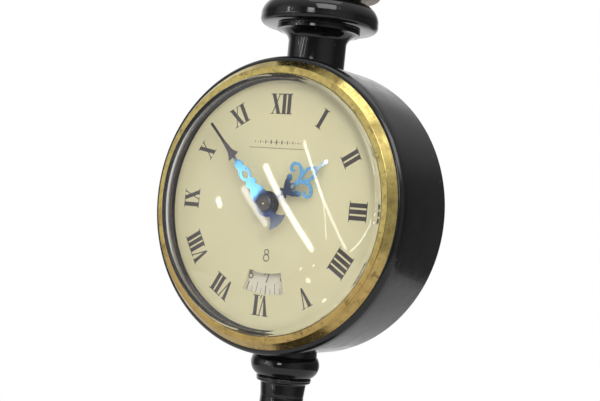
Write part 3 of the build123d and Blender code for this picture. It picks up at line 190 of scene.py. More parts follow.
def slab(polygons, level, holes):
    """Printing on the drum's faces, from overlapping flat outlines in mm, all joined in one."""
    spots = []
    faces = []
    for polygon in [*polygons, *holes]:
        faces.append(list(range(len(spots), len(spots) + len(polygon))))
        spots += [Vector(spot) for spot in polygon]
    verts, _, tris, _, _, owners = delaunay_2d_cdt(spots, [], faces, 1, 1e-5, True)
    kept = [tri for tri, own in zip(tris, owners) if own and min(own) < len(polygons)
            and not any(number >= len(polygons) for number in own)]
    work = bmesh.new()
    corners = [work.verts.new((spot.x, spot.y, level)) for spot in verts]
    for tri in kept:
        work.faces.new([corners[number] for number in tri])
    bmesh.ops.delete(work, geom=[v for v in work.verts if not v.link_faces], context="VERTS")
    lifted = bmesh.ops.extrude_face_region(work, geom=work.faces[:], use_keep_orig=True)
    for item in lifted["geom"]:
        if isinstance(item, bmesh.types.BMVert):
            item.co.z = level + INK
    bmesh.ops.transform(work, matrix=DRUM @ Matrix.Scale(MM, 4), verts=work.verts)
    bmesh.ops.recalc_face_normals(work, faces=work.faces)
    mesh = bpy.data.meshes.new("print")
    work.to_mesh(mesh)
    work.free()
    return mesh


def turned_about(polygon, clockwise, radius):
    """Moves an outline out to a radius at a clockwise angle, with its top outwards."""
    angle = math.radians(clockwise)
    out = []
    for x, y in polygon:
        y = y + radius
        out.append((x * math.cos(angle) + y * math.sin(angle), y * math.cos(angle) - x * math.sin(angle)))
    return out


def round_spot(x, y, radius, steps=24):
    return [(x + radius * math.cos(2 * math.pi * n / steps), y + radius * math.sin(2 * math.pi * n / steps))
            for n in range(steps)]


# ---- shader helpers

def link(tree, source, target):
    tree.links.new(source, target)


def node(tree, kind, **values):
    made = tree.nodes.new(kind)
    for name, value in values.items():
        if name in made.inputs:
            made.inputs[name].default_value = value
        else:
            setattr(made, name, value)
    return made


def feed(tree, value, socket):
    """Links a socket to another one's output, or sets it to a plain value."""
    if hasattr(value, "is_output"):
        link(tree, value, socket)
    else:
        socket.default_value = value


def noise_at(tree, point, **values):
    made = node(tree, "ShaderNodeTexNoise", **values)
    link(tree, point, made.inputs["Vector"])
    return made.outputs["Fac"]


def axes(tree, point):
    parts = node(tree, "ShaderNodeSeparateXYZ")
    link(tree, point, parts.inputs[0])
    return parts.outputs


def switch_shader(tree, ray, usual, other, out):
    """Uses another shader for one kind of ray."""
    path = node(tree, "ShaderNodeLightPath")
    either = node(tree, "ShaderNodeMixShader")
    link(tree, path.outputs[ray], either.inputs[0])
    link(tree, usual.outputs[0], either.inputs[1])
    link(tree, other.outputs[0], either.inputs[2])
    link(tree, either.outputs[0], out.inputs[0])


def maths(tree, operation, first, second=None, clamp=False):
    made = tree.nodes.new("ShaderNodeMath")
    made.operation = operation
    made.use_clamp = clamp
    for socket, value in zip(made.inputs, (first, second)):
        if value is not None:
            feed(tree, value, socket)
    return made.outputs[0]


def stretch(tree, value, low, high, new_low=0.0, new_high=1.0):
    ends = {"From Min": low, "From Max": high, "To Min": new_low, "To Max": new_high}
    made = node(tree, "ShaderNodeMapRange", **ends)
    link(tree, value, made.inputs["Value"])
    return made.outputs["Result"]


def blend_colour(tree, mask, first, second):
    made = tree.nodes.new("ShaderNodeMix")
    made.data_type = "RGBA"
    feed(tree, mask, made.inputs[0])
    for number, value in ((6, first), (7, second)):
        feed(tree, (*value, 1.0) if isinstance(value, tuple) else value, made.inputs[number])
    return made.outputs[2]


def effect_group(name, inputs, outputs):
    """Empty shader group with named inputs and outputs."""
    group = bpy.data.node_groups.new(name, "ShaderNodeTree")
    for label, kind, value in inputs:
        socket = group.interface.new_socket(name=label, in_out="INPUT", socket_type=kind)
        if value is not None:
            socket.default_value = value
    for label, kind in outputs:
        group.interface.new_socket(name=label, in_out="OUTPUT", socket_type=kind)
    return group, group.nodes.new("NodeGroupInput").outputs, group.nodes.new("NodeGroupOutput").inputs


FLOAT = "NodeSocketFloat"
VECTOR = "NodeSocketVector"
SPREAD = [("Point", VECTOR, None), ("Amount", FLOAT, 0.5)]
SIZED = [("Point", VECTOR, None), ("Size mm", FLOAT, 4.0), ("Amount", FLOAT, 0.5)]


def sized_point(group, given):
    """The group's point, scaled so that one unit is its size in mm."""
    place = node(group, "ShaderNodeVectorMath", operation="SCALE")
    link(group, given["Point"], place.inputs[0])
    link(group, maths(group, "DIVIDE", 1.0, given["Size mm"]), place.inputs["Scale"])
    return place.outputs[0]


def make_turning_marks():
    """Fine rings left by the lathe or the polishing wheel, from a point whose z runs along the axis, in mm."""
    inputs = [("Point", VECTOR, None), ("Lines per mm", FLOAT, 6.0)]
    group, given, result = effect_group("turning_marks", inputs, [("Height", FLOAT), ("Mask", FLOAT)])
    x, y, z = axes(group, given["Point"])
    squares = [maths(group, "POWER", axis, 2.0) for axis in (x, y)]
    radius = maths(group, "SQRT", maths(group, "ADD", *squares))
    turn = maths(group, "ARCTAN2", y, x)
    place = node(group, "ShaderNodeCombineXYZ")
    link(group, maths(group, "MULTIPLY", radius, given["Lines per mm"]), place.inputs[0])
    link(group, maths(group, "MULTIPLY", z, given["Lines per mm"]), place.inputs[1])
    link(group, maths(group, "SINE", turn), place.inputs[2])
    fine = noise_at(group, place.outputs[0], Scale=1.0, Detail=3.0, Roughness=0.65)
    broad = noise_at(group, place.outputs[0], Scale=0.12, Detail=2.0)
    link(group, maths(group, "ADD", fine, maths(group, "MULTIPLY", broad, 0.6)), result["Height"])
    link(group, stretch(group, fine, 0.42, 0.62), result["Mask"])
    return group


def make_patches():
    """Blotchy patches of tarnish or stain."""
    group, given, result = effect_group("patches", SIZED, [("Mask", FLOAT), ("Fine", FLOAT)])
    place = sized_point(group, given)
    broad = noise_at(group, place, Scale=1.0, Detail=6.0, Roughness=0.62, Distortion=0.6)
    small = noise_at(group, place, Scale=5.0, Detail=5.0, Roughness=0.7)
    edge = maths(group, "SUBTRACT", 0.78, maths(group, "MULTIPLY", given["Amount"], 0.5))
    mixed = maths(group, "ADD", maths(group, "MULTIPLY", broad, 0.72), maths(group, "MULTIPLY", small, 0.28))
    above = maths(group, "SUBTRACT", mixed, edge)
    link(group, maths(group, "MULTIPLY", above, 7.0, clamp=True), result["Mask"])
    link(group, small, result["Fine"])
    return group


def make_scratches():
    """Hair-fine scratches in three directions."""
    group, given, result = effect_group("scratches", SPREAD, [("Mask", FLOAT), ("Height", FLOAT)])
    total = None
    for turn, across, along in ((0.5, 7.0, 0.10), (-0.9, 6.0, 0.12), (1.9, 9.0, 0.16)):
        scale = (across, along, across)
        place = node(group, "ShaderNodeMapping", Rotation=(turn, turn * 0.7, turn), Scale=scale)
        link(group, given["Point"], place.inputs["Vector"])
        sharp = stretch(group, noise_at(group, place.outputs[0], Scale=1.0, Detail=1.0), 0.70, 0.76)
        total = sharp if total is None else maths(group, "MAXIMUM", total, sharp)
    mask = maths(group, "MULTIPLY", total, given["Amount"])
    link(group, mask, result["Mask"])
    link(group, maths(group, "MULTIPLY", mask, -1.0), result["Height"])
    return group


def make_edge_wear():
    """Where a piece has been handled: its outward edges, broken up."""
    group, given, result = effect_group("edge_wear", SPREAD, [("Mask", FLOAT)])
    shape = node(group, "ShaderNodeNewGeometry")
    sharp = stretch(group, shape.outputs["Pointiness"], 0.515, 0.60)
    ragged = noise_at(group, given["Point"], Scale=1.3, Detail=6.0, Roughness=0.7)
    broken = stretch(group, ragged, 0.38, 0.62)
    worn = maths(group, "MULTIPLY", sharp, broken)
    link(group, maths(group, "MULTIPLY", worn, given["Amount"]), result["Mask"])
    return group


def make_dust():
    """Scattered specks of dust and small pits."""
    group, given, result = effect_group("dust", SIZED, [("Mask", FLOAT)])
    cells = node(group, "ShaderNodeTexVoronoi", Scale=1.0, Randomness=1.0)
    link(group, sized_point(group, given), cells.inputs["Vector"])
    near = stretch(group, cells.outputs["Distance"], 0.05, 0.13, 1.0, 0.0)
    pick = node(group, "ShaderNodeSeparateColor")
    link(group, cells.outputs["Color"], pick.inputs[0])
    share = maths(group, "MULTIPLY", given["Amount"], 0.6)
    chosen = maths(group, "GREATER_THAN", maths(group, "ADD", pick.outputs[0], share), 0.9)
    link(group, maths(group, "MULTIPLY", near, chosen), result["Mask"])
    return group


turning_marks = make_turning_marks()
patches = make_patches()
scratches = make_scratches()
edge_wear = make_edge_wear()
dust = make_dust()


class Finish:
    """One material: its shader, its coordinates in mm and the effects laid on it."""

    def __init__(self, name, place, **sockets):
        self.material = bpy.data.materials.new(name)
        self.material.use_nodes = True
        self.tree = self.material.node_tree
        self.shader = self.tree.nodes["Principled BSDF"]
        for label, value in sockets.items():
            label = label.replace("_", " ")
            self.shader.inputs[label].default_value = (*value, 1.0) if isinstance(value, tuple) else value
        where = self.tree.nodes.new("ShaderNodeTexCoord")
        inverse = place.inverted()
        shift = node(self.tree, "ShaderNodeMapping")
        shift.inputs["Rotation"].default_value = inverse.to_euler()
        shift.inputs["Location"].default_value = inverse.to_translation() / MM
        shift.inputs["Scale"].default_value = (1 / MM, 1 / MM, 1 / MM)
        link(self.tree, where.outputs["Object"], shift.inputs["Vector"])
        self.point = shift.outputs["Vector"]
        self.last_relief = None

    def effect(self, group, **values):
        made = self.tree.nodes.new("ShaderNodeGroup")
        made.node_tree = group
        link(self.tree, self.point, made.inputs["Point"])
        for label, value in values.items():
            made.inputs[label.replace("_", " ")].default_value = value
        return made.outputs

    def noise(self, scale, detail, roughness=0.6, stretch_to=(1, 1, 1)):
        place = node(self.tree, "ShaderNodeMapping", Scale=stretch_to)
        link(self.tree, self.point, place.inputs["Vector"])
        return noise_at(self.tree, place.outputs[0], Scale=scale, Detail=detail, Roughness=roughness)

    def range(self, value, *ends):
        return stretch(self.tree, value, *ends)

    def mix(self, mask, first, second):
        return blend_colour(self.tree, mask, first, second)

    def add(self, first, second):
        return maths(self.tree, "ADD", first, second, clamp=True)

    def times(self, first, second):
        return maths(self.tree, "MULTIPLY", first, second)

    def colour(self, value):
        self.base = value
        link(self.tree, value, self.shader.inputs["Base Color"])

    def lay(self, mask, amount, tint):
        """Tints the colour so far where the mask is."""
        self.colour(self.mix(self.times(mask, amount), self.base, tint))

    def rough(self, value):
        link(self.tree, value, self.shader.inputs["Roughness"])

    def spotted_rough(self, spots, lines, low, high, scratched):
        fine = self.range(spots["Fine"], 0.35, 0.7, low, high)
        self.rough(self.add(fine, self.times(lines["Mask"], scratched)))

    def relief(self, height, depth, strength):
        """Lays a bump of the given depth in mm over those before it."""
        bump = node(self.tree, "ShaderNodeBump", Strength=strength, Distance=depth * MM)
        link(self.tree, height, bump.inputs["Height"])
        if self.last_relief:
            link(self.tree, self.last_relief, bump.inputs["Normal"])
        link(self.tree, bump.outputs[0], self.shader.inputs["Normal"])
        self.last_relief = bump.outputs[0]


def black_lacquer(name, place, rough):
    made = Finish(name, place, Coat_Weight=0.12, Coat_Roughness=0.05)
    wear = made.effect(edge_wear, Amount=0.35)["Mask"]
    specks = made.effect(dust, Size_mm=2.6, Amount=0.25)["Mask"]
    marks = made.effect(turning_marks, Lines_per_mm=2.2)
    lines = made.effect(scratches, Amount=0.5)
    haze = made.noise(0.16, 5.0)
    colour = made.mix(made.range(haze, 0.35, 0.7), (0.004, 0.004, 0.005), (0.008, 0.008, 0.009))
    made.colour(made.mix(wear, colour, (0.045, 0.04, 0.037)))
    made.lay(specks, 0.5, (0.12, 0.115, 0.11))
    made.lay(lines["Mask"], 0.06, (0.12, 0.12, 0.12))
    smear = made.range(made.noise(0.35, 6.0, 0.65), 0.40, 0.72, *rough)
    made.rough(made.add(smear, made.times(made.add(wear, specks), 0.25)))
    made.relief(made.noise(0.55, 3.0), 0.02, 0.5)
    made.relief(marks["Height"], 0.004, 0.5)
    made.relief(lines["Height"], 0.004, 0.6)
    return made.material


COPPER_LEVEL = -12.0           # below this height on the dial the gilding is darker
COPPER_FADE = 14.0


def gilt(name, place):
    """Gilding that is darker and more copper-coloured low down, and rubbed in patches."""
    made = Finish(name, place, Metallic=1.0, Roughness=0.3)
    marks = made.effect(turning_marks, Lines_per_mm=5.0)
    spots = made.effect(patches, Size_mm=5.0, Amount=0.62)
    stains = made.effect(patches, Size_mm=2.4, Amount=0.50)
    wear = made.effect(edge_wear, Amount=0.7)["Mask"]
    lines = made.effect(scratches, Amount=0.8)
    ragged = made.times(made.noise(0.18, 5.0), 16.0)
    height = maths(made.tree, "SUBTRACT", axes(made.tree, made.point)[1], ragged)
    low = made.range(height, COPPER_LEVEL, COPPER_LEVEL - COPPER_FADE)
    drift = made.range(made.noise(0.7, 6.0, 0.7), 0.35, 0.68)
    made.colour(made.mix(drift, (0.74, 0.60, 0.200), (0.60, 0.465, 0.135)))
    made.lay(low, 0.7, (0.50, 0.29, 0.090))
    made.lay(spots["Mask"], 0.6, (0.34, 0.22, 0.065))
    made.lay(stains["Mask"], 0.75, (0.12, 0.08, 0.03))
    made.lay(marks["Mask"], 0.25, (0.90, 0.76, 0.36))
    made.lay(wear, 0.6, (0.90, 0.76, 0.42))
    rough = made.add(made.range(spots["Fine"], 0.35, 0.7, 0.13, 0.24), made.times(stains["Mask"], 0.25))
    made.rough(made.add(rough, made.times(lines["Mask"], 0.12)))
    made.relief(marks["Height"], 0.006, 0.6)
    made.relief(spots["Fine"], 0.004, 0.3)
    made.relief(lines["Height"], 0.006, 0.6)
    return made.material


def polished_metal(name, place, bright, dull, rough=(0.16, 0.34), lines_per_mm=5.0, tarnish=0.3,
                   stain=(0.2, 0.13, 0.06)):
    """Brass, steel or gilt brass: turned or grained, with a little tarnish and handling marks."""
    made = Finish(name, place, Metallic=1.0, Roughness=0.25)
    marks = made.effect(turning_marks, Lines_per_mm=lines_per_mm)
    spots = made.effect(patches, Size_mm=2.6, Amount=tarnish)
    wear = made.effect(edge_wear, Amount=0.6)["Mask"]
    lines = made.effect(scratches, Amount=0.6)
    made.colour(made.mix(made.range(made.noise(0.9, 5.0), 0.35, 0.68), bright, dull))
    made.lay(spots["Mask"], 0.55, stain)
    made.lay(wear, 0.5, tuple(min(1.0, part * 1.25) for part in bright))
    made.spotted_rough(spots, lines, *rough, 0.15)
    made.relief(marks["Height"], 0.004, 0.6)
    made.relief(lines["Height"], 0.004, 0.6)
    return made.material


def painted(name, place, light, dark, rough=(0.42, 0.58), grain_depth=0.01, shine=0.35):
    """Matt paint or paper with a fine tooth and faint yellowing."""
    made = Finish(name, place, Roughness=0.5, Specular_IOR_Level=shine)
    specks = made.effect(dust, Size_mm=1.9, Amount=0.18)["Mask"]
    aged = made.effect(patches, Size_mm=18.0, Amount=0.35)
    made.colour(made.mix(made.range(made.noise(0.06, 4.0), 0.32, 0.68), light, dark))
    made.lay(aged["Mask"], 0.35, tuple(part * 0.93 for part in dark))
    made.lay(specks, 0.3, tuple(part * 0.55 for part in dark))
    made.rough(made.range(made.noise(2.2, 4.0), 0.35, 0.65, *rough))
    made.relief(made.noise(5.5, 4.0, 0.7), grain_depth, 0.6)
    return made.material


def blued(name, place, deep, bright, rough=(0.05, 0.13)):
    """Heat-blued polished steel; the colour drifts with the heat."""
    made = Finish(name, place, Metallic=1.0, Roughness=0.1)
    drift = made.range(made.noise(0.22, 3.0), 0.36, 0.66)
    lines = made.effect(scratches, Amount=0.4)
    spots = made.effect(patches, Size_mm=1.3, Amount=0.22)
    made.colour(made.mix(drift, deep, bright))
    made.lay(spots["Mask"], 0.5, (0.05, 0.035, 0.05))
    made.spotted_rough(spots, lines, *rough, 0.1)
    made.relief(spots["Fine"], 0.006, 0.5)
    return made.material


def blued_hand(name, heading, heat_and_sheen_zones):
    """A blued hand whose colour changes from its hub to its tip, given as distances in mm and colours: heat
    colour, with painted reflection in the light blue and silver zones and painted shade in the grey tail.
    """
    turn = Matrix.Rotation(math.radians(90 - heading), 4, "Z")
    made = Finish(name, DRUM @ turn, Metallic=1.0, Roughness=0.1)
    lines = made.effect(scratches, Amount=0.4)
    spots = made.effect(patches, Size_mm=1.6, Amount=0.34)
    ragged = made.times(made.add(made.noise(0.45, 4.0), -0.5), 3.0)
    along = maths(made.tree, "ADD", axes(made.tree, made.point)[0], ragged)
    colour = heat_and_sheen_zones[0][1]
    # The zones lay heat colour together with painted reflection and painted shade along the hand, and they turn
    # with it.
    for (start, _), (end, tint) in zip(heat_and_sheen_zones, heat_and_sheen_zones[1:]):
        colour = made.mix(made.range(along, start, end), colour, tint)
    made.colour(colour)
    made.lay(spots["Mask"], 0.75, (0.016, 0.022, 0.050))
    made.spotted_rough(spots, lines, 0.06, 0.14, 0.1)
    made.relief(spots["Fine"], 0.006, 0.5)
    return made.material


def clear_crystal(name):
    """Clear glass that lets light pass to what is under it."""
    made = Finish(name, DRUM, Base_Color=(0.985, 0.99, 0.99), Roughness=0.0, IOR=1.5, Transmission_Weight=1.0)
    smear = made.effect(patches, Size_mm=16.0, Amount=0.2)["Mask"]
    specks = made.effect(dust, Size_mm=3.4, Amount=0.12)["Mask"]
    made.rough(made.add(made.times(smear, 0.03), made.times(specks, 0.10)))
    through = made.tree.nodes.new("ShaderNodeBsdfTransparent")
    through.inputs[0].default_value = (0.96, 0.97, 0.96, 1.0)
    switch_shader(made.tree, "Is Shadow Ray", made.shader, through, made.tree.nodes["Material Output"])
    return made.material


def frosted_glass(name):
    made = Finish(name, POST, Base_Color=(0.93, 0.92, 0.86), Roughness=0.45, IOR=1.46, Transmission_Weight=0.85)
    specks = made.effect(dust, Size_mm=1.6, Amount=0.3)["Mask"]
    grime = made.effect(patches, Size_mm=7.0, Amount=0.45)["Mask"]
    made.colour(made.mix(made.times(grime, 0.35), (0.94, 0.93, 0.87), (0.74, 0.69, 0.56)))
    made.lay(specks, 0.5, (0.4, 0.36, 0.3))
    made.rough(made.add(made.range(made.noise(1.2, 3.0), 0.3, 0.7, 0.30, 0.48), made.times(specks, 0.2)))
    made.relief(made.noise(3.0, 3.0), 0.02, 0.4)
    return made.material


def plain_ruby(name):
    made = Finish(name, DRUM, Base_Color=(0.62, 0.02, 0.09), Roughness=0.06, IOR=1.76, Transmission_Weight=0.45)
    cloud = made.noise(1.4, 4.0)
    made.colour(made.mix(made.range(cloud, 0.35, 0.65), (0.68, 0.02, 0.10), (0.42, 0.01, 0.05)))
    made.rough(made.range(made.noise(3.0, 3.0), 0.3, 0.7, 0.04, 0.12))
    return made.material


def soft_felt(name):
    made = Finish(name, POST, Roughness=0.95, Specular_IOR_Level=0.2, Sheen_Weight=0.5, Sheen_Roughness=0.5)
    made.shader.inputs["Sheen Tint"].default_value = (0.5, 0.75, 0.6, 1.0)
    fibres = made.noise(4.0, 6.0, 0.75, (1.0, 1.0, 2.5))
    made.colour(made.mix(made.range(fibres, 0.3, 0.7), (0.018, 0.07, 0.04), (0.04, 0.125, 0.075)))
    made.rough(made.range(fibres, 0.3, 0.7, 0.88, 1.0))
    made.relief(fibres, 0.15, 0.8)
    return made.material


def cast_metal(name):
    made = Finish(name, POST, Roughness=0.7, Metallic=0.6)
    pits = made.noise(1.1, 6.0, 0.7)
    rust = made.effect(patches, Size_mm=6.0, Amount=0.4)["Mask"]
    made.colour(made.mix(pits, (0.10, 0.10, 0.105), (0.19, 0.19, 0.20)))
    made.lay(rust, 0.6, (0.20, 0.09, 0.045))
    made.rough(made.range(pits, 0.3, 0.7, 0.55, 0.8))
    made.relief(pits, 0.12, 0.7)
    return made.material


BRASS = ((0.80, 0.60, 0.27), (0.64, 0.46, 0.19))
AGED = ((0.27, 0.21, 0.15), (0.165, 0.125, 0.09))
STEEL = ((0.66, 0.67, 0.69), (0.50, 0.51, 0.53))
lacquer_post = black_lacquer("black_lacquer_post", POST, (0.06, 0.17))
lacquer_drum = black_lacquer("black_lacquer_drum", DRUM, (0.15, 0.28))
finishes = {
    "gilt": gilt("gilt_bezel", DRUM),
    "aged_brass": polished_metal("aged_brass", POST, *AGED, rough=(0.32, 0.52), lines_per_mm=3.0, tarnish=0.5,
                                 stain=(0.07, 0.05, 0.035)),
    "brass": polished_metal("movement_brass", DRUM, *BRASS, tarnish=0.2),
    "steel": polished_metal("polished_steel", DRUM, *STEEL, rough=(0.12, 0.26), tarnish=0.16,
                            stain=(0.16, 0.12, 0.10)),
    "spring_steel": blued("spring_steel", DRUM, (0.10, 0.14, 0.28), (0.22, 0.28, 0.42), (0.14, 0.28)),
    "blued_steel": blued("blued_hands", DRUM, (0.030, 0.085, 0.42), (0.075, 0.20, 0.72)),
    "dial_cream": painted("dial_cream", DRUM, (0.760, 0.695, 0.435), (0.735, 0.665, 0.405)),
    "day_white": painted("day_white", DRUM, (0.80, 0.74, 0.62), (0.76, 0.70, 0.575)),
    "dark_wall": painted("dark_wall", DRUM, (0.010, 0.006, 0.012), (0.018, 0.011, 0.020), rough=(0.14, 0.26),
                         grain_depth=0.006, shine=0.15),
    "crystal_clear": clear_crystal("clear_crystal"),
    "frosted_glass": frosted_glass("frosted_glass"),
    "ruby": plain_ruby("ruby"),
    "gasket_rubber": painted("gasket_rubber", DRUM, (0.03, 0.03, 0.03), (0.018, 0.018, 0.018),
                             rough=(0.6, 0.8)),
    "felt": soft_felt("green_felt"),
    "cast_iron": cast_metal("cast_weight"),
}
# Hand colours: the light blue and silver are partly heat colour and partly painted reflection; the grey is
# painted shade on the minute hand's tail.
NAVY = (0.010, 0.020, 0.060)
SKY_BLUE_AND_SHEEN = (0.15, 0.43, 0.76)
PLUM = (0.060, 0.050, 0.060)
SILVER_AND_SHEEN = (0.50, 0.62, 0.70)
GREY_TAIL_SHADE = (0.075, 0.085, 0.10)
MINUTE_ANGLE = -44.5           # clockwise from the twelve
HOUR_ANGLE = 54.6
# Zones along each hand, from hub to tip: heat colour with painted reflection (light blue, silver) and painted
# shade (grey tail).
MINUTE_HEAT_AND_SHEEN = ((-7.0, GREY_TAIL_SHADE), (-3.4, NAVY), (2.8, NAVY), (4.2, SKY_BLUE_AND_SHEEN), (12.6, SKY_BLUE_AND_SHEEN), (14.6, (0.10, 0.34, 0.60)),
                (16.4, PLUM))
HOUR_HEAT_AND_SHEEN = ((3.0, NAVY), (8.6, (0.014, 0.030, 0.085)), (10.8, SKY_BLUE_AND_SHEEN), (16.5, SKY_BLUE_AND_SHEEN), (18.5, SILVER_AND_SHEEN))
minute_blue_and_sheen = blued_hand("blued_minute_hand_painted_sheen", MINUTE_ANGLE, MINUTE_HEAT_AND_SHEEN)
hour_blue_and_sheen = blued_hand("blued_hour_hand_painted_sheen", HOUR_ANGLE, HOUR_HEAT_AND_SHEEN)
turned_gilt = polished_metal("gilt_finial", POST, (0.84, 0.62, 0.22), (0.62, 0.42, 0.13), tarnish=0.4,
                             stain=(0.30, 0.17, 0.06))
ground_cap = polished_metal("hand_cap_steel", DRUM, (0.115, 0.105, 0.105), (0.075, 0.068, 0.07),
                            rough=(0.3, 0.45))


def ink(name, light, dark):
    return painted(name, DRUM, light, dark, rough=(0.4, 0.55), grain_depth=0.004)


print_ink = ink("printing_ink", (0.080, 0.064, 0.062), (0.056, 0.044, 0.043))
faint_ink = ink("faint_ink", (0.20, 0.165, 0.105), (0.16, 0.13, 0.085))
tick_ink = ink("tick_ink", (0.30, 0.265, 0.25), (0.25, 0.22, 0.21))


# ---- post

def lacquered(name, points, place, replaces, steps=TURNS, edge=0.2):
    material = lacquer_drum if place is DRUM else lacquer_post
    return turned(name, points, place, steps, edge, material, replaces)


def build_foot():
    low, top, wide = upright("base_foot")
    waist = 17.0
    lacquered("foot", [
        (0, low), (wide, low), (wide, low + 4.5), (wide - 1.5, low + 6.0, -0.4), (wide - 5.0, low + 6.0),
        (wide - 6.0, low + 7.0), (wide - 8.0, low + 9.5, -1.2), (waist + 6.0, low + 14.0, 2.5),
        (waist + 5.0, low + 14.0), (waist + 3.0, top - 3.0, -1.5), (waist, top - 3.0), (waist, top), (0, top),
    ], POST, ("base_foot", "base_weight"))


def build_pedestal():
    low, top, _ = upright("pedestal")
    wide = 17.0
    shaft = COLUMN_FOOT
    lacquered("pedestal_turned", [
        (0, low), (wide - 1.5, low), (wide - 1.5, low + 3.0, -1.2), (wide - 3.5, low + 3.0),
        (wide - 4.5, low + 6.5, 0.6), (wide - 4.5, top - 16.0), (wide - 3.0, top - 14.5),
        (wide - 3.0, top - 12.0, -1.0), (shaft + 2.0, top - 8.0, 1.2), (shaft + 2.0, top - 6.0),
        (shaft + 3.2, top - 4.8), (shaft + 3.2, top - 2.4, -1.0), (shaft + 1.4, top), (0, top),
    ], POST, ("pedestal",), 96)


def build_column():
    low, top, _ = upright("column")
    knop = low + (top - low) / 3
    middle = COLUMN_FOOT + (COLUMN_HEAD - COLUMN_FOOT) / 3
    swell = middle + 1.6
    lacquered("column_turned", [
        (0, low), (COLUMN_FOOT, low), (middle, knop - 2.0), (swell, knop - 1.0), (swell, knop + 1.0, -0.6),
        (middle, knop + 2.0), (COLUMN_HEAD, top), (0, top),
    ], POST, ("column",), 72)


OVERLAP = 1.5                  # extra height, cut back to the drum's side


def seat_on_drum(piece, below):
    """Fits the end of a turned piece to the drum's round side."""
    for vert in piece.data.vertices:
        side = math.sqrt((DRUM_RADIUS * MM) ** 2 - vert.co.x ** 2)
        if below:
            vert.co.z = min(vert.co.z, CENTRE - side)
        else:
            vert.co.z = max(vert.co.z, CENTRE + side)


def build_capital():
    low = upright("column_capital")[0]
    top = CENTRE / MM - DRUM_RADIUS
    head = COLUMN_HEAD
    bulb = 9.5
    throat = 8.6
    swell = bulb - (head + 1.2 + throat) / 2
    piece = lacquered("capital_turned", [
        (0, low), (head, low), (head + 0.3, low + 3.2), (head + 0.9, low + 3.9, 0.25),
        (head + 1.5, low + 4.6, -0.3), (head + 1.2, low + 5.3, -0.3), (throat, top - 0.6, -swell),
        (throat, top + OVERLAP), (0, top + OVERLAP),
    ], POST, ("column_capital",), 96)
    seat_on_drum(piece, True)


def build_neck():
    low = CENTRE / MM + DRUM_RADIUS
    _, top, flange = upright("neck")
    shaft = 8.1
    piece = lacquered("neck_turned", [
        (0, low - OVERLAP), (shaft, low - OVERLAP), (shaft, low + 6.4), (shaft + 3.5, low + 9.1, 0.8),
        (shaft + 3.5, low + 10.5), (flange - 0.9, low + 10.5), (flange, low + 12.2, -0.35),
        (flange - 2.8, low + 17.3, -0.9), (flange - 3.6, low + 17.3), (flange - 5.4, low + 18.0, 0.2),
        (flange - 5.4, top), (0, top),
    ], POST, ("neck",), 128, 0.12)
    seat_on_drum(piece, False)


def build_tray():
    low, top, wide = upright("lantern_tray")
    turned("tray", [
        (0, low), (wide - 0.8, low), (wide, low + 0.8, -0.2), (wide, low + 1.6), (wide - 1.0, top, -0.3),
        (0, top),
    ], POST, 128, 0.1, finishes["aged_brass"], ("lantern_tray",))


def build_lamp():
    low, top, _ = upright("lantern_lamp")
    rod = 2.0
    swell = low + 0.3 * (top - low)
    turned("lamp_chimney", [
        (rod + 1.6, low), (rod + 2.6, low), (rod + 3.4, swell, -0.4), (rod + 1.6, top, -0.4), (rod + 0.6, top),
        (rod + 2.4, swell, 0.4),
    ], POST, 64, 0.08, finishes["frosted_glass"], ("lantern_lamp",))


def build_finial():
    low, top, _ = upright("lantern_finial")
    tall = top - low
    turned("finial_turned", [
        (0, low), (3.6, low), (3.6, low + 1.2), (2.4, low + 2.2, 0.3), (2.4, low + 0.62 * tall, -2.0),
        (1.0, low + 0.70 * tall, 0.3), (0.5, top), (0, top),
    ], POST, 64, 0.1, turned_gilt, ("lantern_finial",))


# ---- drum case and crystal

DRUM_WALL = 2.5


def build_shell():
    shoulder = FRONT - 4.1
    inner = DRUM_RADIUS - DRUM_WALL
    lacquered("drum_case", [
        (inner, BACK), (DRUM_RADIUS - 1.0, BACK), (DRUM_RADIUS, BACK + 1.0, -0.29),
        (DRUM_RADIUS, shoulder - 0.6), (DRUM_RADIUS - 0.3, shoulder - 0.3), (BEAD_RADIUS, shoulder),
        (BEAD_RADIUS, FRONT - 1.6), (BEZEL_RADIUS + 0.1, FRONT, -0.3), (inner, FRONT),
    ], DRUM, ("drum_shell",), DRUM_TURNS, 0.12)


def build_bezel():
    turned("bezel_ring", [
        (BEZEL_RADIUS - BEZEL_FOOT, FRONT), (BEZEL_RADIUS, FRONT), (BEZEL_RADIUS - BEZEL_FLANK, BEZEL_TOP),
        (BEZEL_INNER, BEZEL_TOP), (BEZEL_INNER, CRYSTAL_TOP), (BEZEL_RADIUS - BEZEL_FOOT, CRYSTAL_TOP),
    ], DRUM, DRUM_TURNS, 0.14, finishes["gilt"], ("bezel",))


def dome(radius, rise):
    """Bow of the arc from the top of a shallow dome down to its edge."""
    ball = (radius ** 2 + rise ** 2) / (2 * rise)
    return ball - math.sqrt(ball ** 2 - (radius ** 2 + rise ** 2) / 4)


CRYSTAL_EDGE = BEZEL_INNER - 0.1
CRYSTAL_WALL = 1.2             # thickness of the upright edge, and width of the flange under the bezel
SHOULDER = 1.5                 # width of the crystal's rounded edge
CRYSTAL_THICK = 1.3            # thickness at the middle
THICKENING = 13.8              # width of the outer part, which thickens towards the edge
DOME_PEAK = along_drum("crystal")[1]
DOME_RISE = DOME_PEAK - CRYSTAL_TOP - 1.9
DOME_BALL = (CRYSTAL_EDGE ** 2 + DOME_RISE ** 2) / (2 * DOME_RISE)


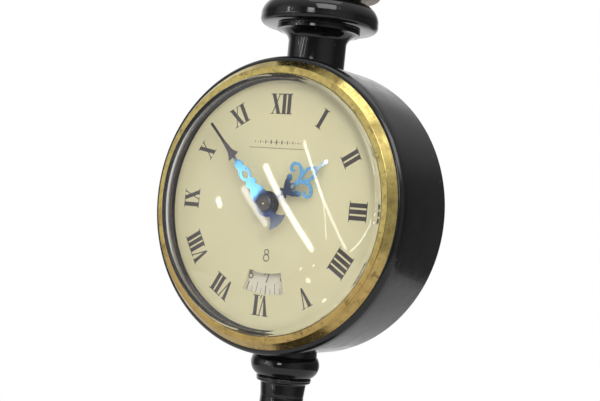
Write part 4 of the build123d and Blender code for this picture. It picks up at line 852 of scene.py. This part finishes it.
def build_crystal():
    inner = CRYSTAL_EDGE - CRYSTAL_WALL
    flange = CRYSTAL_EDGE + CRYSTAL_WALL
    even = inner - THICKENING
    inner_peak = DOME_PEAK - CRYSTAL_THICK
    inner_ball = DOME_BALL - CRYSTAL_THICK
    inner_drop = inner_ball - math.sqrt(inner_ball ** 2 - even ** 2)
    shoulder = CRYSTAL_EDGE - SHOULDER
    outer_drop = DOME_BALL - math.sqrt(DOME_BALL ** 2 - shoulder ** 2)
    turned("crystal_dome", [
        (0, inner_peak), (even, inner_peak - inner_drop, dome(even, inner_drop)),
        (inner, CRYSTAL_TOP - 0.3, 0.46), (inner, CRYSTAL_SEAT), (flange, CRYSTAL_SEAT), (flange, CRYSTAL_TOP),
        (CRYSTAL_EDGE, CRYSTAL_TOP), (CRYSTAL_EDGE, BEZEL_TOP + 0.3), (shoulder, DOME_PEAK - outer_drop, -0.40),
        (0, DOME_PEAK, -dome(shoulder, outer_drop)),
    ], DRUM, DRUM_TURNS, 0.12, finishes["crystal_clear"], ("crystal",))


def build_wall():
    top = CRYSTAL_SEAT - 0.3
    step = FRONT - 0.1
    rim = DRUM_RADIUS - DRUM_WALL - 0.05
    lip = BEZEL_RADIUS - BEZEL_FOOT - 0.2
    turned("wall_ring", [
        (DIAL_RADIUS, DIAL_LEVEL), (rim, DIAL_LEVEL), (rim, step), (lip, step), (lip, top),
        (DIAL_RADIUS + 0.4, top),
    ], DRUM, DRUM_TURNS, 0.05, finishes["dark_wall"], ("dial_ring",))


def build_cap():
    low, top, wide = along_drum("hand_cap")
    tip = 0.35
    tall = top - low
    turned("cap_turned", [
        (tip, low), (wide, low), (wide, low + 0.45 * tall), (0.72 * wide, low + 0.9 * tall, -0.08),
        (tip + 0.1, top), (tip, top),
    ], DRUM, 64, 0.05, ground_cap, ("hand_cap",), "minute_arbor")
    pin = tip - 0.02
    turned("arbor_tip", [
        (0, low), (pin, low), (pin, top - 0.12), (0.12, top, -0.05), (0, top),
    ], DRUM, 32, 0.02, finishes["brass"], (), "minute_arbor")


# ---- dial printing

NUMERAL_HEIGHT = 5.6
NUMERAL_FOOT = 24.5            # distance of a numeral's foot from the dial's centre
STEM = 1.15
STEM_PITCH = 1.65
SERIF = 0.24
SERIF_REACH = 0.48


def box(left, right, low, high):
    return [(left, low), (right, low), (right, high), (left, high)]


def stroke(bottom, bottom_width, top, top_width):
    return [(bottom, 0), (bottom + bottom_width, 0), (top + top_width, NUMERAL_HEIGHT), (top, NUMERAL_HEIGHT)]


def foot_serif(left, right):
    return box(left, right, 0, SERIF)


def head_serif(left, right):
    return box(left, right, NUMERAL_HEIGHT - SERIF, NUMERAL_HEIGHT)


def letter(kind):
    """Outlines of one letter and the room that it takes."""
    if kind == "I":
        return [box(0, STEM, 0, NUMERAL_HEIGHT), foot_serif(-SERIF_REACH, STEM + SERIF_REACH),
                head_serif(-SERIF_REACH, STEM + SERIF_REACH)], STEM
    if kind == "V":
        return [stroke(1.30, 0.55, 0.10, 1.15), stroke(1.45, 0.32, 2.55, 0.32),
                head_serif(-0.25, 1.60), head_serif(2.20, 3.25)], 3.0
    return [stroke(1.95, 1.15, 0.0, 1.15), stroke(0.25, 0.30, 2.50, 0.30), head_serif(-0.30, 1.50),
            head_serif(2.05, 3.15), foot_serif(-0.15, 1.00), foot_serif(1.60, 3.40)], 3.1


def numeral(text):
    polygons = []
    across = 0.0
    for kind in text:
        shapes, width = letter(kind)
        polygons += [[(x + across, y) for x, y in shape] for shape in shapes]
        across += width + STEM_PITCH - STEM
    across -= STEM_PITCH - STEM
    return [[(x - across / 2, y) for x, y in shape] for shape in polygons]


NUMERALS = ("XII", "I", "II", "III", "IIII", "V", "VI", "VII", "VIII", "IX", "X", "XI")
ORNAMENT_LEVEL = 16.7
ORNAMENT_PITCH = 1.75
EIGHT_UPPER = (0, -12.72)
EIGHT_LOWER = (0, -14.30)


def printed(name, shapes, ink_used, holes=(), level=DIAL_LEVEL, body="root"):
    add_piece(name, slab(shapes, level, holes), body, (), ink_used)


def build_printing():
    shapes = []
    for hour, text in enumerate(NUMERALS):
        shapes += [turned_about(shape, 30 * hour, NUMERAL_FOOT) for shape in numeral(text)]
    printed("hour_numerals", shapes, print_ink)
    rule = [box(-9.2, 8.4, 15.03, 15.19)]
    for number in range(-4, 5):
        tall = 0.85 - 0.12 * abs(number)
        wide = 0.42 * tall
        x = ORNAMENT_PITCH * number - 0.4
        y = ORNAMENT_LEVEL
        rule.append([(x - wide, y), (x, y - tall), (x + wide, y), (x, y + tall)])
        rule.append(round_spot(x + 0.87, y, 0.14, 12))
    printed("dial_rule", rule, faint_ink)
    rings = [round_spot(*EIGHT_UPPER, 0.78), round_spot(*EIGHT_LOWER, 1.02)]
    openings = [round_spot(*EIGHT_UPPER, 0.52), round_spot(*EIGHT_LOWER, 0.74)]
    printed("dial_eight", rings, print_ink, openings)
    wedge = [(-0.58, -25.35), (-0.20, -25.35), (0.14, -24.28), (-0.10, -24.28)]
    printed("day_pointer", [wedge], print_ink)


def pen_line(spots, width):
    """Even line through points, as short overlapping pieces with round joints."""
    shapes = []
    for (x, y), (u, v) in zip(spots, spots[1:]):
        long = math.hypot(u - x, v - y)
        side = Vector((y - v, u - x)) / long * width / 2
        a, b = side.x, side.y
        shapes.append([(x + a, y + b), (x - a, y - b), (u - a, v - b), (u + a, v + b)])
    shapes += [round_spot(x, y, width / 2, 10) for x, y in spots]
    return shapes


def bent(x, y, radius, first, last, steps=10, squash=1.0):
    """Points along an arc, in degrees."""
    angles = [math.radians(first + (last - first) * n / steps) for n in range(steps + 1)]
    return [(x + radius * squash * math.cos(angle), y + radius * math.sin(angle)) for angle in angles]


FIGURES = {
    "1": [[(-0.30, 1.75), (0.15, 2.10), (0.15, 0.0)]],
    "2": [bent(0, 1.55, 0.55, 165, -20) + [(-0.60, 0.05), (0.62, 0.05)]],
    "3": [bent(-0.02, 1.58, 0.50, 150, -80) + bent(-0.02, 0.58, 0.60, 85, -150)],
    "4": [[(0.30, 0.0), (0.30, 2.10), (-0.65, 0.65), (0.70, 0.65)]],
    "5": [[(0.50, 2.08), (-0.38, 2.08), (-0.45, 1.20)] + bent(-0.02, 0.68, 0.64, 120, -150)],
    "6": [[(0.38, 1.95)] + bent(0.22, 0.95, 1.05, 100, 175, 6, 0.75) + bent(0.0, 0.62, 0.60, 180, 540, 18)],
    "7": [[(-0.62, 1.80), (-0.58, 2.08), (0.62, 2.08), (-0.05, 0.0)]],
    "8": [bent(0, 1.60, 0.47, 0, 360, 16), bent(0, 0.58, 0.58, 0, 360, 16)],
}
DAY_STEP = 15.0                # the ring moves on by this angle each day
DAYS = 8
DAY_FOOT = 20.9                # distance of a figure's foot from the dial's centre
DAY_TICK = (21.75, 24.3)
HALF_DAY_TICK = (21.2, 24.2)
QUARTER_DAY_TICK = (22.6, 24.3)
PEN = 0.26
SHOWN_DAY = 7
SHOWN_ANGLE = 179.8
FIGURE_SCALE = 1.16


def tick(half_width, ends, angle):
    first, last = ends
    return turned_about(box(-half_width, half_width, 0, last - first), angle, first)


def build_day_ring():
    level = along_drum("day_ring")[1]
    figures = []
    ticks = []
    for number in range(round(360 / DAY_STEP)):
        day = (SHOWN_DAY - 1 + number) % DAYS + 1
        turn = SHOWN_ANGLE - number * DAY_STEP
        for line in FIGURES[str(day)]:
            for shape in pen_line(line, PEN):
                upright = [(-x * FIGURE_SCALE, -y * FIGURE_SCALE) for x, y in shape]
                figures.append(turned_about(upright, turn, DAY_FOOT))
        figures.append(tick(0.12, DAY_TICK, turn))
        half = DAY_STEP / 2
        ticks.append(tick(0.10, HALF_DAY_TICK, turn - half))
        for side in (-half / 2, half / 2):
            ticks.append(tick(0.07, QUARTER_DAY_TICK, turn - half + side))
    printed("day_figures", figures, print_ink, (), level, "day_ring")
    printed("day_ticks", ticks, tick_ink, (), level, "day_ring")


for build in (build_foot, build_pedestal, build_column, build_capital, build_neck, build_tray, build_lamp,
              build_finial, build_shell, build_bezel, build_crystal, build_wall, build_cap, build_printing,
              build_day_ring):
    build()

# ---- pieces kept from the frame

OWN_FINISHES = {"lantern_roof": lacquer_post, "back_cover": lacquer_drum, "minute_hand": minute_blue_and_sheen,
                "hour_hand": hour_blue_and_sheen}
EDGES = {"hour_hand": 0.06, "minute_hand": 0.06, "lantern_frame": 0.2, "lantern_roof": 0.25,
         "lantern_panes": 0.06, "back_cover": 0.15, "winding_key": 0.15, "setting_knob": 0.08, "base_felt": 0.3,
         "dial": 0.05}
FINE_EDGE = 0.04
slot_of = {part["node"]: part["material_slot"] for part in frame["record"]["subparts"]}
for name, kept in frame["nodes"].items():
    if name in replaced:
        continue
    kept.data.materials.clear()
    kept.data.materials.append(OWN_FINISHES.get(name, finishes.get(slot_of[name])))
    round_edges(kept, EDGES.get(name, FINE_EDGE), 2, 35)

# ---- floor, light and camera

FLOOR_RADIUS = 0.42


def build_floor():
    mesh = bpy.data.meshes.new("floor")
    work = bmesh.new()
    bmesh.ops.create_circle(work, cap_ends=True, segments=128, radius=FLOOR_RADIUS)
    work.to_mesh(mesh)
    work.free()
    floor = bpy.data.objects.new("floor", mesh)
    bpy.context.collection.objects.link(floor)
    mesh.materials.append(painted("pale_floor", POST, (0.76, 0.76, 0.76), (0.74, 0.74, 0.74), rough=(0.5, 0.6)))


WALLS = 0.12                   # brightness of the room round the clock
CEILING = 0.75
GROUND = 0.52
# Soft patches of light on the walls: heading, half widths where each is full and where it ends, brightness.
ROOM = ((-136.0, 20.0, 46.0, 0.85), (-35.0, 8.0, 35.0, 0.64), (68.0, 8.0, 40.0, 0.26))


def build_world():
    world = bpy.data.worlds.new("studio")
    world.use_nodes = True
    tree = world.node_tree
    tree.nodes.clear()
    out = tree.nodes.new("ShaderNodeOutputWorld")
    where = tree.nodes.new("ShaderNodeTexCoord")
    height = axes(tree, where.outputs["Generated"])[2]
    total = stretch(tree, height, 0.25, 0.9, WALLS, CEILING)
    for azimuth, near, far, amount in ROOM:
        facing = node(tree, "ShaderNodeVectorMath", operation="DOT_PRODUCT")
        link(tree, where.outputs["Generated"], facing.inputs[0])
        heading = math.radians(azimuth)
        facing.inputs[1].default_value = (math.sin(heading), -math.cos(heading), 0)
        ends = (math.cos(math.radians(far)), math.cos(math.radians(near)), 0.0, amount)
        total = maths(tree, "ADD", total, stretch(tree, facing.outputs["Value"], *ends))
    below = stretch(tree, height, -0.75, -0.20, GROUND, 0.0)
    total = maths(tree, "MAXIMUM", total, below)
    around = node(tree, "ShaderNodeCombineXYZ")
    for axis in range(3):
        link(tree, total, around.inputs[axis])
    studio = tree.nodes.new("ShaderNodeBackground")
    link(tree, around.outputs[0], studio.inputs[0])
    plain = tree.nodes.new("ShaderNodeBackground")
    plain.inputs[0].default_value = (1, 1, 1, 1)
    switch_shader(tree, "Is Camera Ray", studio, plain, out)
    bpy.context.scene.world = world


def area_light(name, place, aim, size, radiance, up=Vector((0, 0, 1))):
    """Rectangular lamp whose surface has the given brightness."""
    lamp = bpy.data.lights.new(name, "AREA")
    lamp.shape = "RECTANGLE"
    lamp.size, lamp.size_y = size
    lamp.energy = radiance * math.pi * size[0] * size[1]
    thing = bpy.data.objects.new(name, lamp)
    back = (Vector(place) - Vector(aim)).normalized()
    right = up.cross(back).normalized()
    facing = Matrix((right, back.cross(right), back)).transposed().to_4x4()
    thing.matrix_world = Matrix.Translation(place) @ facing
    thing.visible_camera = False
    bpy.context.collection.objects.link(thing)
    return thing


CAMERA = DRUM @ Vector((0.17882, -0.00650, 0.27096))
YAW = 33.50                    # degrees; the camera also looks up a little and leans
LOOK_UP = 1.529
LEAN = 5.793
camera_data = bpy.data.cameras.new("camera")
camera_data.lens = 70.048
camera_data.sensor_width = 36.0
camera_data.clip_start = 0.01
camera = bpy.data.objects.new("camera", camera_data)
yaw, pitch, roll = (math.radians(angle) for angle in (YAW, 90 + LOOK_UP, LEAN))
turn = Matrix.Rotation(yaw, 4, "Z") @ Matrix.Rotation(pitch, 4, "X") @ Matrix.Rotation(roll, 4, "Z")
camera.matrix_world = Matrix.Translation(CAMERA) @ turn
bpy.context.collection.objects.link(camera)
bpy.context.scene.camera = camera

BALL_RADIUS = DOME_BALL * MM
BALL_CENTRE = DRUM @ Vector((0, 0, DOME_PEAK * MM - BALL_RADIUS))


def seen_in_dome(x, y, distance):
    """Where a lamp stands so that the crystal shows it over a spot on the dial, in mm."""
    spot = DRUM @ Vector((x * MM, y * MM, DIAL_LEVEL * MM))
    ray = (spot - CAMERA).normalized()
    middle = (BALL_CENTRE - CAMERA).dot(ray)
    miss = (CAMERA + ray * middle - BALL_CENTRE).length
    touch = CAMERA + ray * (middle - math.sqrt(BALL_RADIUS ** 2 - miss ** 2))
    normal = (touch - BALL_CENTRE).normalized()
    return touch + (ray - 2 * ray.dot(normal) * normal) * distance, touch


def pieces_of(name, materials):
    """Collection of the pieces made of some materials, for a lamp that only lights them."""
    pieces = bpy.data.collections.new(name)
    for thing in bpy.context.scene.objects:
        if thing.type == "MESH" and thing.data.materials and thing.data.materials[0] in materials:
            pieces.objects.link(thing)
    return pieces


LAMP_DISTANCE = 2.0            # how far the narrow lamps stand from the clock, in metres
lacquer_pieces = pieces_of("lacquer_pieces", (lacquer_post, lacquer_drum))
glossy_pieces = pieces_of("glossy_pieces", (finishes["crystal_clear"], lacquer_post, lacquer_drum))
crystal_pieces = pieces_of("crystal_pieces", (finishes["crystal_clear"],))


def soft_edges(lamp, width, length):
    """Fades a strip lamp towards its long edges and rounds its ends."""
    lamp.use_nodes = True
    tree = lamp.node_tree
    glow = tree.nodes["Emission"]
    shape = tree.nodes.new("ShaderNodeNewGeometry")
    parts = axes(tree, shape.outputs["Parametric"])
    offsets = []
    for axis, reach, straight in ((0, length, max(0.0, length - width)), (1, width, 0.0)):
        away = maths(tree, "ABSOLUTE", maths(tree, "SUBTRACT", parts[axis], 0.5))
        away = maths(tree, "MULTIPLY", away, 2.0 * reach / width)
        away = maths(tree, "MAXIMUM", maths(tree, "SUBTRACT", away, straight / width), 0.0)
        offsets.append(maths(tree, "POWER", away, 2.0))
    radius = maths(tree, "SQRT", maths(tree, "ADD", *offsets))
    link(tree, stretch(tree, radius, 0.35, 1.0, 1.0, 0.0), glow.inputs["Strength"])


def strip_in_dome(name, first, last, width, radiance):
    """Strip lamp that the crystal shows as a streak between two spots on the dial."""
    start, touch = seen_in_dome(*first, LAMP_DISTANCE)
    end, _ = seen_in_dome(*last, LAMP_DISTANCE)
    middle = (start + end) / 2
    across = (end - start).normalized()
    size = ((end - start).length, width)
    back = (middle - touch).normalized()
    lamp = area_light(name, middle, touch, size, radiance, up=back.cross(across))
    soft_edges(lamp.data, width, size[0])
    lamp.light_linking.receiver_collection = glossy_pieces


NECK_LAMPS = ((14.6, 0.42, 6.0), (-31.6, 0.12, 5.0))       # heading, width and brightness
GLINTS = ((-18.3, -0.6, 0.11), (13.8, -19.0, 0.06), (21.4, -19.4, 0.06))       # spot on the dial, width

build_floor()
build_world()
bpy.context.scene.view_settings.view_transform = "Standard"
soft_aim = (0, 0, CENTRE)
neck = Vector((0, 0, CENTRE + 0.052))
area_light("front_soft_box", (0.95, -0.95, 1.15), soft_aim, (1.0, 0.8), 3.7)
area_light("top_soft_box", (0.1, -0.1, 1.3), soft_aim, (0.9, 0.9), 1.2)
strip_in_dome("streak_main", (-4.2, 11.0), (14.7, -11.5), 0.068, 9.0)
strip_in_dome("streak_thin", (8.0, 18.0), (24.4, -10.0), 0.034, 8.0)
strip_in_dome("streak_hub", (-11.0, 4.5), (-1.0, -6.0), 0.075, 5.0)
rim_lamp = area_light("rim_highlight", (1.36, -1.46, 0.62), soft_aim, (0.10, 1.4), 20.0)
rim_lamp.light_linking.receiver_collection = crystal_pieces
for heading, width, radiance in NECK_LAMPS:
    side = Vector((math.sin(math.radians(heading)), -math.cos(math.radians(heading)), 0.21)) * LAMP_DISTANCE
    neck_lamp = area_light(f"neck_highlight_{round(heading)}", side + neck, neck, (width, 0.45), radiance)
    neck_lamp.light_linking.receiver_collection = lacquer_pieces
for number, (x, y, wide) in enumerate(GLINTS):
    strip_in_dome(f"glint_{number}", (x - 0.6, y - 0.4), (x + 0.6, y + 0.4), wide, 10.0)
